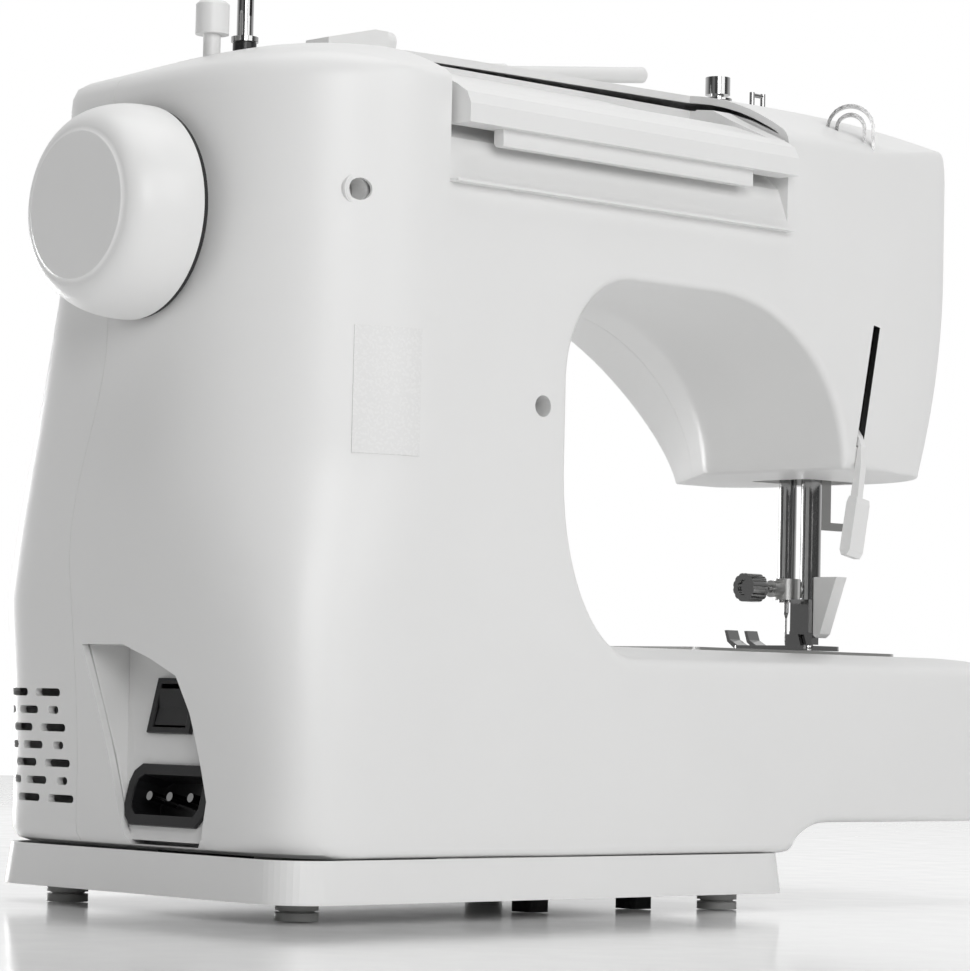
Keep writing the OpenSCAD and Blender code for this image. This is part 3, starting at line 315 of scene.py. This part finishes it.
def foot(t, y, outer):
    if outer:
        z = SEAM + np.maximum(0, 5 * t - 3) * 26
        x = mix(PILLAR - 10, side_x(y, z), np.minimum(1, 5 * t / 3))
        return x, flat(z, y)
    a = np.radians(90 * t)
    return flat(CORNER[0] + CORNER_R * np.sin(a), y), mix(CORNER[1], bed_top(y), np.cos(a))


def pillar(t, y, outer):
    z = flat(mix(72, 192, t), y)
    return (side_x(y, z), z) if outer else (flat(PILLAR, y), flat(mix(CORNER[1], 179, t), y))


def shoulder(t, y, outer):
    if outer:
        z = np.interp(5 * t, [0, 1, 2, 3], [192, 223, 248, EDGE])
        x = mix(side_x(y, z), 60, np.maximum(0, 5 * t - 3) / 3)
        return x, np.where(t > 0.6 + 1e-9, top_z(x, y), z)
    a = np.radians(90 * t)
    return flat(PILLAR - 30 * (1 - np.cos(a)), y), flat(ARM_LOW - 35.5 * (1 - np.sin(a)), y)


def arm(t, y, outer):
    if outer:
        x = mix(mix(side_x(y, EDGE), 60, 2 / 3), 24, t)
        return x, top_z(x, y)
    return flat(mix(14, -28, t), y), flat(ARM_LOW, y)


def head_top(t, y, outer):
    if outer:
        x = mix(24, head_x(y, EDGE), t * ROOF)
        return x, top_z(x, y)
    return sweep(90 * t, y)


def head_under(i, y):
    return mix(sweep(90, y)[0], head_x(y, HEAD_LOW), i / 8), flat(HEAD_LOW, y)


def head_roof(t, y, outer):
    if outer:
        x = mix(24, head_x(y, EDGE), mix(ROOF, 1, t))
        return x, top_z(x, y)
    return head_under(3 * t, y)


def head_end(t, y, outer):
    if outer:
        z = flat(mix(EDGE, 158.5, t), y)
        return head_x(y, z), z
    return head_under(3 + 4 * t, y)


def head_corner(t, y, outer):
    if outer:
        z = flat(mix(158.5, 157.1, t), y)
        return head_x(y, z), z
    return head_under(7 + 0.93 * t, y)


ARM_RUN = [(foot, 30), (pillar, 36), (shoulder, 30), (arm, 24), (head_top, 42), (head_roof, 14),
           (head_end, 36), (head_corner, 5)]
BED_RUN = [(tip_end, 12), (free_arm, 24), (base_step, 24), (bed_right, 14)]


def outline(run, y):
    """x and z of the closed outline. y has one row for each point: first the throat side, then
    the outside backwards."""
    half = len(y) // 2
    sides = []
    for outer, rows in ((False, y[:half]), (True, y[half:][::-1])):
        at, xs, zs = 0, [], []
        for form, count in run:
            t = (np.arange(count) / count)[:, None]
            x, z = form(t, rows[at:at + count], outer)
            xs.append(np.broadcast_to(x, rows[at:at + count].shape))
            zs.append(np.broadcast_to(z, rows[at:at + count].shape))
            at += count
        sides.append((np.concatenate(xs), np.concatenate(zs)))
    (a, b), (c, d) = sides
    return np.concatenate([a, c[::-1]]), np.concatenate([b, d[::-1]])


def relax(v, times=2):
    """Rounds sharp corners of a closed outline: v <- (v- + 2 v + v+) / 4."""
    for _ in range(times):
        v = (np.roll(v, 1, 0) + 2 * v + np.roll(v, -1, 0)) / 4
    return v


def inset(w, d):
    """Closed outline w = x + iz moved inwards by d along the mean of its edges' normals."""
    back, ahead = w - np.roll(w, 1, 0), np.roll(w, -1, 0) - w
    s = -1j * (back / (abs(back) + 1e-9) + ahead / (abs(ahead) + 1e-9))
    return w + 2 * d * s / np.maximum(abs(s), 0.6) ** 2


def unfold(w, v, keep):
    """Rounds v wherever its edges, measured along those of w, keep less than the share `keep` of
    their length, so that an inset corner never folds over."""
    edge = np.roll(w, -1, 0) - w
    for _ in range(250):
        along = ((np.roll(v, -1, 0) - v) * edge.conj()).real
        folded = along < keep * abs(edge) ** 2
        near = folded | np.roll(folded, 1, 0)
        near = near | np.roll(near, 1, 0) | np.roll(near, -1, 0)
        v = np.where(near, relax(v, 1), v)
    return v


def skin(rear, d, gaps, across, gap_all):
    """Rings from the parting line to the face, then the face itself. gaps are distances from
    the face, and the rim rounds off as e - sqrt(e^2 - (e - gap)^2). Returns points and quads."""
    run = BED_RUN + ARM_RUN if rear else ARM_RUN
    count = 2 * sum(n for _, n in run)
    x0, z0 = (v[:, 0] for v in outline(run, np.full((count, 1), PART)))
    start = parting(x0, z0) - (0 if rear else 0.15)
    face = np.full(count, REAR - d) if rear else front_y(x0, z0) + d
    gap = np.asarray(gaps)
    share = 1 - gap / gap_all
    y = start[:, None] + (face - start)[:, None] * share
    x, z = outline(run, y)
    w = relax(x + 1j * z)
    rounding = RIM - np.sqrt(np.maximum(0, RIM**2 - (RIM - gap) ** 2))
    rim = np.where(gap < RIM, rounding, 0)
    own = unfold(w, inset(w, d + rim), KEEP_REAR if rear else KEEP_FRONT)
    shared = (own[:, -1:] - w[:, -1:]) / (d + RIM)
    w = mix(own, w + shared * (d + rim), np.minimum(1, 3 * rim / RIM))
    x, z = w.real, w.imag
    levels, n = len(gaps), count // 2
    points = np.stack([x.T, y.T, z.T], -1).reshape(-1, 3)
    quads = grid_quads(levels, count, close=True)
    base = (levels - 1) * count
    f = np.linspace(0, 1, across + 1)[1:-1]
    ax, az = x[:n, -1], z[:n, -1]
    bx, bz = x[n:, -1][::-1], z[n:, -1][::-1]
    fx, fz = mix(ax[:, None], bx[:, None], f), mix(az[:, None], bz[:, None], f)
    fy = np.full(fx.shape, REAR - d) if rear else front_y(fx, fz) + d
    index = np.empty((n, across + 1), int)
    index[:, 0], index[:, -1] = base + np.arange(n), base + count - 1 - np.arange(n)
    index[:, 1:-1] = len(points) + np.arange(n * (across - 1)).reshape(n, -1)
    points = np.concatenate([points, np.stack([fx, fy, fz], -1).reshape(-1, 3)])
    index = index[1:-1]
    cap = np.stack([index[:-1, :-1], index[:-1, 1:], index[1:, 1:], index[1:, :-1]], -1).reshape(-1, 4)
    ends = [[base + count - 1, *index[0][::-1], base], [base + n - 1, *index[-1], base + n]]
    return points, np.concatenate([quads, cap[:, ::-1]]), ends, count


def cover(name, rear):
    """Hollow half of the covers: outer skin, inner skin and the rim between them."""
    gap_all = DEPTH_REAR if rear else DEPTH_FRONT
    a = np.radians(np.linspace(0, 90, 7))
    near = list(RIM * (1 - np.sin(a)))
    far = list(np.linspace(gap_all, RIM, LEVELS_REAR if rear else LEVELS_FRONT)[:-1])
    across = 14 if rear else 40
    p, q, ends, count = skin(rear, 0, far + near, across, gap_all)
    pi, qi, ends_i, _ = skin(rear, WALL, far[::2] + near[::3], across // 2, gap_all)
    k = np.arange(count)
    bridge = np.stack([k, (k + 1) % count, (k + 1) % count + len(p), k + len(p)], -1)
    quads = np.concatenate([q, qi[:, ::-1] + len(p), bridge[:, ::-1]])
    ends = [e[::-1] for e in ends] + [np.asarray(e) + len(p) for e in ends_i]
    return closed_mesh(name, np.concatenate([p, pi]), quads, ends)


rear_mesh = cover("rear_cover", True)
front_mesh = cover("front_cover", False)
print("rear cover:", len(rear_mesh.polygons), "quads; front cover:", len(front_mesh.polygons))

# %% [markdown]
# ## Materials
#
# Each material is a small node tree on the object's own coordinates: a fine grain for the bump,
# a broad one for tone, and a roughness that wanders a little. Even numbers sit on the shader.

# %% Materials
material = {}


def surface(slot, colour, rough, metal=0.0, grain=900, bump=0.02, tone=0.03, spread=0.05,
            stretch=(1, 1, 1), coat=0.0, glass=0.0):
    """Principled surface. Fine noise drives the bump, broad noise the tone and the roughness."""
    m = bpy.data.materials.new(slot)
    m.use_nodes = True
    nodes, links = m.node_tree.nodes, m.node_tree.links
    shader = nodes["Principled BSDF"]
    shader.inputs["Metallic"].default_value = metal
    shader.inputs["Coat Weight"].default_value = coat
    shader.inputs["Coat Roughness"].default_value = 0.12
    shader.inputs["Transmission Weight"].default_value = glass
    place = nodes.new("ShaderNodeTexCoord")
    scale = nodes.new("ShaderNodeMapping")
    scale.inputs["Scale"].default_value = stretch
    links.new(place.outputs["Object"], scale.inputs["Vector"])
    fine = nodes.new("ShaderNodeTexNoise")
    fine.inputs["Scale"].default_value = grain
    fine.inputs["Detail"].default_value = 3
    broad = nodes.new("ShaderNodeTexNoise")
    broad.inputs["Scale"].default_value = 14
    broad.inputs["Detail"].default_value = 4
    for noise in (fine, broad):
        links.new(scale.outputs["Vector"], noise.inputs["Vector"])
    ramp = nodes.new("ShaderNodeValToRGB")
    dark = [c * (1 - tone) for c in colour]
    light = [min(1, c * (1 + tone)) for c in colour]
    ramp.color_ramp.elements[0].position, ramp.color_ramp.elements[1].position = 0.3, 0.7
    ramp.color_ramp.elements[0].color = (*dark, 1)
    ramp.color_ramp.elements[1].color = (*light, 1)
    links.new(broad.outputs["Fac"], ramp.inputs["Fac"])
    links.new(ramp.outputs["Color"], shader.inputs["Base Color"])
    level = nodes.new("ShaderNodeMapRange")
    level.inputs["To Min"].default_value = rough - spread
    level.inputs["To Max"].default_value = rough + spread
    links.new(fine.outputs["Fac"], level.inputs["Value"])
    links.new(level.outputs["Result"], shader.inputs["Roughness"])
    if bump:
        height = nodes.new("ShaderNodeBump")
        height.inputs["Strength"].default_value = 1.0
        height.inputs["Distance"].default_value = bump * MM
        links.new(fine.outputs["Fac"], height.inputs["Height"])
        links.new(height.outputs["Normal"], shader.inputs["Normal"])
    material[slot] = m
    return m


surface("white_plastic", (0.80, 0.80, 0.795), 0.36, grain=1100, bump=0.012, tone=0.012, spread=0.05)
surface("pale_grey_plastic", (0.80, 0.80, 0.795), 0.42, grain=1100, bump=0.02)
surface("dark_plastic", (0.010, 0.010, 0.011), 0.32, grain=1300, bump=0.03, tone=0.1)
surface("nylon", (0.06, 0.06, 0.065), 0.45, tone=0.1)
surface("bobbin_plastic", (0.62, 0.66, 0.70), 0.12, bump=0, tone=0.05)
surface("black_rubber", (0.012, 0.012, 0.012), 0.75, grain=700, bump=0.06, tone=0.15)
surface("grey_rubber", (0.30, 0.30, 0.295), 0.5, grain=700, bump=0.06, tone=0.1)
surface("bright_steel", (0.40, 0.40, 0.40), 0.10, metal=1, grain=600, bump=0.004, tone=0.03, spread=0.04)
surface("plain_steel", (0.60, 0.60, 0.59), 0.30, metal=1, grain=500, bump=0.01, tone=0.05,
        stretch=(0.05, 1, 1))
surface("lever_paint", (0.79, 0.79, 0.785), 0.33, grain=900, bump=0.01, tone=0.012)
# painted shade: near-black, put where only shadow falls, in the lifter slot, inside the head and in the
# gap behind the handwheel
surface("inside", (0.012, 0.012, 0.012), 0.6, grain=900, bump=0.02)
surface("patch", (0.795, 0.795, 0.79), 0.27, grain=1100, bump=0, tone=0.01)
surface("motor_paint", (0.05, 0.053, 0.056), 0.4, grain=800, bump=0.03, tone=0.1)
surface("cast_alloy", (0.42, 0.42, 0.41), 0.48, metal=1, grain=420, bump=0.12, tone=0.08)
surface("bronze", (0.50, 0.34, 0.15), 0.32, metal=1, grain=500, bump=0.01, tone=0.06)
surface("lamp_glass", (0.90, 0.88, 0.82), 0.25, bump=0, tone=0.02, glass=0.4)

slot_of = {part["node"]: part["material_slot"] for part in frame["record"]["subparts"]}
for name, obj in frame["nodes"].items():
    obj.data.materials.clear()
    obj.data.materials.append(material[slot_of[name]])
print("materials:", len(material))

# %% [markdown]
# ## Eased edges
#
# Moulded and machined pieces have no perfectly sharp edge. A small bevel, given in millimetres
# for each piece, catches the light along it.

# %% Eased edges
EASED = {"base_tray": 0.5, "carry_handle": 0.5, "handle_well": 0.5, "socket_panel": 0.3,
         "power_socket": 0.3, "switch_bezel": 0.3, "power_switch": 0.3, "rubber_feet": 0.5,
         "spool_pin": 0.4, "reel_rest": 0.6,
         "tension_seat": 0.4, "presser_lifter": 0.4, "presser_foot": 0.15, "shank_lever": 0.3}
for name, width in EASED.items():
    obj = frame["nodes"][name]
    weld = obj.modifiers.new("weld", "WELD")
    weld.merge_threshold = 0.002 * MM
    bevel = obj.modifiers.new("bevel", "BEVEL")
    bevel.width, bevel.segments, bevel.limit_method = width * MM, 2, "ANGLE"
    bevel.angle_limit, bevel.harden_normals = math.radians(30), False
print("pieces with eased edges:", len(EASED))

# %% [markdown]
# ## Cutting the openings
#
# One set of closed cutters, made with the same sizes as the frame's openings, is taken away from
# each smooth cover: the hollow for the handle, the arch of the power inlet, the slots and holes.

# %% Covers with their openings
WHEEL_HOLE, NEEDLE_X, NEEDLE_Y = 9.0, -144.0, 5.0
HANDLE_HOLLOW = [(81, 241.5), (77.4, 241.5), (72.5, 254.5), (64, 262), (34, 275), (28, 282), (28, 300),
                 (81, 300)]
INLET_ARCH = [(-29.5, 87), (-7.5, 87), (6.5, 82.5), (19.5, 77), (26, 65), (30.4, 51), (34.3, 37),
              (32, 25), (28, 22), (-7.2, 22)]
SEAT = 0.02
FLOOR_WINDOW = [(52, -58), (134, -58), (134, 58), (52, 58)]
VENT_PITCH, VENT_Y, VENT_TOP, VENT_LEAN = 5.9, -43, 69.5, 1.2
VENT_ROWS = ([(-14.5, 14.5), (-34, 14.5)], [(-8.5, 6), (-27, 12.5), (-37, 6)])


def rounded(low, high, radius, count=8):
    """Rectangle with round corners, as points."""
    centres = [(high[0] - radius, high[1] - radius), (low[0] + radius, high[1] - radius),
               (low[0] + radius, low[1] + radius), (high[0] - radius, low[1] + radius)]
    parts = []
    for k, (cx, cy) in enumerate(centres):
        t = np.radians(np.linspace(90 * k, 90 * k + 90, count))
        parts.append(np.stack([cx + radius * np.cos(t), cy + radius * np.sin(t)], -1))
    return np.concatenate(parts)


def grown(points, by):
    """Outline moved outwards by `by`, along the mean of its edges' normals."""
    w = np.asarray(points, float) @ [1, 1j]
    area = 0.5 * (w.conj() * np.roll(w, -1)).imag.sum()
    w = inset(w, by if area > 0 else -by)
    return np.stack([w.real, w.imag], -1)


lifter_slot = prism([(-1.8, -31.5), (1.8, -31.5), (1.8, 14), (-1.8, 14)], 1, 64, 94)
lifter_slot.transform(Matrix.Translation(Vector((-108.5, 0, 196)) * MM)
                      @ Matrix.Rotation(math.radians(-11), 4, "Y"))
SCREW_A, SCREW_B, SCREW_HOLE = (133, 233.5), (56, 169), 3.6
rear_cutters = [
    prism(grown(HANDLE_HOLLOW, SEAT), 0, -62 - SEAT, 100 + SEAT),
    prism(INLET_ARCH, 0, 150, 180),
    lifter_slot,
    prism(disc((SHAFT_Y, SHAFT_Z), WHEEL_HOLE), 0, 140, 180),
    # mouth under the head for the bars, and the window under the needle plate
    prism(rounded((NEEDLE_X - 20, NEEDLE_Y - 10), (NEEDLE_X + 12, 26), 4), 2, 150, 162),
    prism(rounded((NEEDLE_X - 34, PART - 5), (NEEDLE_X + 40, 26), 3), 2, 86, 96),
    # the bobbin winder's slot, and the holes of the pieces on top
    prism(rounded((122.4, -1.6), (135.8, 7.6), 4.5), 2, 270, 300),
    prism(disc((141, 3), 3), 2, 275, 305),
    prism(disc((-103, 3), 2.6), 2, 275, 305),
    prism(disc((-128, 3), 1.1, 24), 2, 275, 305),
    prism(disc((1.2, -9), 3.2), 2, 275, 305),
    prism(disc((88, 5), 2.6), 2, 275, 305),
    prism(FLOOR_WINDOW, 2, SEAM - 1, SEAM + 3.4),
    prism(disc(SCREW_A, SCREW_HOLE), 1, 62, 90),
    prism(disc(SCREW_B, SCREW_HOLE), 1, 60, 90),
]
front_cutters = [
    prism(FLOOR_WINDOW, 2, SEAM - 1, SEAM + 3.4),
    # three dials, then the slots of the reverse and take-up levers
    prism(disc((104, 188), 6), 1, -90, -30),
    prism(disc((104, 243), 4), 1, -90, -30),
    prism(disc((-62, 246), 5), 1, -90, -30),
    prism([(97, 116), (111, 116), (111, 140), (97, 140)], 1, -95, -40),
    prism([(-131, 186), (-127, 186), (-127, 300), (-131, 300)], 1, -60, -30),
]
for row in range(7):
    for left, length in VENT_ROWS[row % 2]:
        y0, z0 = VENT_Y + row * VENT_LEAN + left, VENT_TOP - row * VENT_PITCH
        front_cutters.append(prism(rounded((y0, z0), (y0 + length, z0 + 2.6), 1.29), 0, 130, 175))

rear_cut, front_cut = cut(rear_mesh, rear_cutters), cut(front_mesh, front_cutters)
rear_cover = piece("rear_cover", rear_cut, "machine", "white_plastic", "rear_shell")
front_cover = piece("front_cover", front_cut, "machine", "white_plastic", "front_shell")


def paint_slot_shade(obj, low, high):
    """Second material, a near-black painted shade, on the faces between two corners (mm) that don't look
    to the rear.
    """
    count = len(obj.data.polygons)
    centre, normal = np.empty(3 * count), np.empty(3 * count)
    obj.data.polygons.foreach_get("center", centre)
    obj.data.polygons.foreach_get("normal", normal)
    centre, normal = centre.reshape(-1, 3) / MM, normal.reshape(-1, 3)
    chosen = ((centre > low) & (centre < high)).all(1) & (normal[:, 1] < 0.3)
    obj.data.materials.append(material["inside"])
    obj.data.polygons.foreach_set("material_index", chosen.astype(np.int32))
    return chosen.sum()


# Painted shade: the presser lifter's slot and the cover's inner faces behind it in the head get the
# near-black material in place of their shadow.
print("faces painted dark:", paint_slot_shade(rear_cover, (-130, 55, 164), (-95, 78, 218)))
print("rear cover:", len(rear_cover.data.polygons), "front cover:", len(front_cover.data.polygons))

# %% [markdown]
# ## Turned pieces
#
# A turned piece is a profile of distance along an axis against radius, swept round it. The
# handwheel's rim falls away as a quarter ellipse to its flat face. A thin dark disc behind it
# stands for the shadow in the gap.

# %% Handwheel and screw wells
def lathe(name, along, radius, axis, centre, count=128):
    """Closed surface of revolution: point = centre + along*axis + radius*(cos v, sin v)."""
    v = np.arange(count) * 2 * np.pi / count
    along, radius = np.asarray(along, float)[:, None], np.asarray(radius, float)[:, None]
    points = np.zeros((len(along), count, 3))
    points[..., axis] = along
    others = [k for k in range(3) if k != axis]
    points[..., others[0]] = radius * np.cos(v)
    points[..., others[1]] = radius * np.sin(v)
    quads = grid_quads(len(along), count, close=True)
    first, last = np.arange(count)[::-1], np.arange(count) + (len(along) - 1) * count
    return closed_mesh(name, points.reshape(-1, 3) + centre, quads, [first, last])


def rounded_corner(centre, radius, start, stop, count=7):
    """Arc of a profile, in degrees from the axis direction."""
    t = np.radians(np.linspace(start, stop, count))
    return np.stack([centre[0] + radius * np.cos(t), centre[1] + radius * np.sin(t)], -1)


WHEEL_R, WHEEL_BACK, WHEEL_FACE, FACE_R = 35.0, 171.3, 197.0, 24.5


def wheel_profile():
    """Back web, rim, quarter-ellipse shoulder x = x1 + a sin t, r = FACE_R + b cos t, and face."""
    t = np.radians(np.linspace(0, 86, 40))
    depth = WHEEL_FACE - WHEEL_BACK - 4.9
    shoulder = np.stack([WHEEL_BACK + 4 + depth * np.sin(t),
                         FACE_R + (WHEEL_R - FACE_R) * np.cos(t)], -1)
    back = [(WHEEL_BACK + 6, 0.01), (WHEEL_BACK + 6, 12), (WHEEL_BACK, 12), (WHEEL_BACK, 14),
            (WHEEL_BACK + 11.5, 14), (WHEEL_BACK + 7, WHEEL_R - 5)]
    rim = rounded_corner((WHEEL_BACK + 0.8, WHEEL_R - 0.8), 0.8, 180, 90)
    edge = rounded_corner((WHEEL_FACE - 0.9, 23.6), 0.7, 60, 0)
    return np.concatenate([back, [(WHEEL_BACK, WHEEL_R - 2.4)], rim, shoulder, edge,
                           [(WHEEL_FACE - 0.2, 22.8), (WHEEL_FACE - 0.2, 0.01)]])


profile = wheel_profile()
wheel_mesh = lathe("wheel", profile[:, 0], profile[:, 1], 0, (0, SHAFT_Y, SHAFT_Z))
wheel = piece("handwheel_form", wheel_mesh, "drive", "white_plastic", "handwheel", angle=40)

GAP_LOW, GAP_HIGH, GAP_R = 169.9, 171.25, 34.5
gap_band = lathe("gap", [GAP_LOW, GAP_LOW, GAP_HIGH, GAP_HIGH], [0.01, GAP_R, GAP_R, 0.01], 0,
                 (0, SHAFT_Y, SHAFT_Z))
# painted shadow: a near-black disc fills the gap between the handwheel and the body
piece("wheel_gap_band", gap_band, "drive", "dark_plastic", look="inside")

SCREWS = [(*SCREW_A, 69.5), (*SCREW_B, 76.9)]


def screw_well(x, z, face):
    """Tube that a cover screw sinks in, closed at its lower end, up to the cover's surface."""
    along = [34.4, 34.4, face - 0.4, face, face, 59.9, 59.9]
    radius = [0.01, 5.3, 5.3, 4.9, SCREW_HOLE, SCREW_HOLE, 0.01]
    return lathe("well", along, radius, 1, (x, 0, z), 48)


wells = bmesh.new()
for x, z, face in SCREWS:
    wells.from_mesh(screw_well(x, z, face))
well_mesh = bpy.data.meshes.new("screw_wells")
wells.to_mesh(well_mesh)
wells.free()
screw_wells = piece("screw_wells", well_mesh, "machine", "white_plastic", angle=30)
print("wheel:", len(wheel.data.polygons), "wells:", len(screw_wells.data.polygons))

# %% [markdown]
# ## Blank patch
#
# Half-way up the pillar's rear corner a bare rectangular patch stands a fraction of a
# millimetre proud. It follows the corner's own curve.

# %% Patch
PATCH_X, PATCH_Z = (110.8, 133.9), (149.0, 190.0)


def corner_y(x, z):
    """Depth of the pillar's rear corner: side_x solved for y."""
    f = smooth((z - 40) / 110)
    reach = np.clip((x - 109.3) / mix(51, 58.7, f), 0, 1)
    return SHAFT_Y + (REAR - SHAFT_Y) * quarter(reach, mix(5, 2, f))


def patch_mesh(columns=49, rows=33):
    """Thin sheet that follows the corner: its outer face 0.26 mm proud, its inner face 0.3 mm sunk."""
    x, z = np.meshgrid(np.linspace(*PATCH_X, columns), np.linspace(*PATCH_Z, rows), indexing="xy")
    y = corner_y(x, z)
    outer = np.stack([x, y + 0.26, z], -1).reshape(-1, 3)
    inner = np.stack([x, y - 0.3, z], -1).reshape(-1, 3)
    n = rows * columns
    quads = grid_quads(rows, columns)
    index = np.arange(n).reshape(rows, columns)
    border = np.concatenate([index[0, :-1], index[:-1, -1], index[-1, :0:-1], index[:0:-1, 0]])
    after = np.roll(border, -1)
    rim = np.stack([border, border + n, after + n, after], -1)
    return closed_mesh("patch", np.concatenate([outer, inner]),
                       np.concatenate([quads, quads[:, ::-1] + n, rim[:, ::-1]]))


patch = piece("rear_patch", patch_mesh(), "machine", "white_plastic", look="patch")
print("patch:", len(patch.data.polygons))

# %% [markdown]
# ## Table and light
#
# The machine stands on a round pale glossy table. Two large soft lights face its rear, so that the
# handwheel side is lit at a slant. One hangs above it, and weak ones fill in the side and front.

# %% Table and light
KEY, FRONT_LIGHT, SIDE, TOP, LOW = 15.5, 18.5, 1, 25, 2.6
ROOM, TABLE_R = (0.10, 0.88), 1.85


def soft_light(name, place, aim, size, watts):
    """Rectangular area light at `place`, turned towards `aim`."""
    data = bpy.data.lights.new(name, "AREA")
    data.shape, data.size, data.size_y, data.energy = "RECTANGLE", size[0], size[1], watts
    obj = bpy.data.objects.new(name, data)
    bpy.context.scene.collection.objects.link(obj)
    obj.location = place
    obj.rotation_euler = (Vector(aim) - Vector(place)).to_track_quat("-Z", "Y").to_euler()
    return obj


def make_table():
    """Round table top, whose far edge lies low behind the machine."""
    mesh = bpy.data.meshes.new("table")
    rim = disc((0, 0), TABLE_R, 128)
    mesh.from_pydata([(x, y, 0) for x, y in rim], [], [range(len(rim))])
    table = bpy.data.objects.new("table", mesh)
    bpy.context.scene.collection.objects.link(table)
    table.location.z = -0.0003
    surface("table", (0.90, 0.90, 0.90), 0.10, grain=60, bump=0, tone=0.01, spread=0.02)
    mesh.materials.append(material["table"])
    return table


table = make_table()
soft_light("key", (-0.2, 2.3, 1.1), (0, 0, 0.15), (1.6, 1.4), KEY)
soft_light("front", (1.3, 2.1, 0.9), (0.1, 0, 0.15), (1.0, 1.0), FRONT_LIGHT)
soft_light("side", (2.4, 0.2, 1.2), (0, 0, 0.15), (1.2, 1.4), SIDE)
soft_light("low", (0.0, -1.0, 0.12), (-0.05, 0, 0.2), (0.3, 0.3), LOW)
soft_light("top", (0.2, 0.2, 2.4), (0, 0, 0.2), (2.0, 2.0), TOP)


def make_world():
    """White seen directly. For all other rays the room is bright beyond the machine and darker
    behind the camera, so that metal shows contrast."""
    world = bpy.data.worlds.new("world")
    bpy.context.scene.world = world
    world.use_nodes = True
    tree = world.node_tree
    room = tree.nodes["Background"]
    place = tree.nodes.new("ShaderNodeTexCoord")
    along = tree.nodes.new("ShaderNodeVectorMath")
    along.operation = "DOT_PRODUCT"
    along.inputs[1].default_value = (-math.sin(TURN), -math.cos(TURN), 0)
    tree.links.new(place.outputs["Generated"], along.inputs[0])
    level = tree.nodes.new("ShaderNodeMapRange")
    level.inputs["From Min"].default_value, level.inputs["From Max"].default_value = -0.1, 0.6
    level.inputs["To Min"].default_value, level.inputs["To Max"].default_value = ROOM
    tree.links.new(along.outputs["Value"], level.inputs["Value"])
    tree.links.new(level.outputs["Result"], room.inputs["Strength"])
    room.inputs["Color"].default_value = (1, 1, 1, 1)
    seen = tree.nodes.new("ShaderNodeBackground")
    seen.inputs["Color"].default_value = (1, 1, 1, 1)
    path = tree.nodes.new("ShaderNodeLightPath")
    either = tree.nodes.new("ShaderNodeMath")
    either.operation = "MAXIMUM"
    blend = tree.nodes.new("ShaderNodeMixShader")
    tree.links.new(path.outputs["Is Camera Ray"], either.inputs[0])
    tree.links.new(path.outputs["Is Transmission Ray"], either.inputs[1])
    tree.links.new(either.outputs["Value"], blend.inputs["Fac"])
    tree.links.new(room.outputs["Background"], blend.inputs[1])
    tree.links.new(seen.outputs["Background"], blend.inputs[2])
    tree.links.new(blend.outputs["Shader"], tree.nodes["World Output"].inputs["Surface"])


make_world()
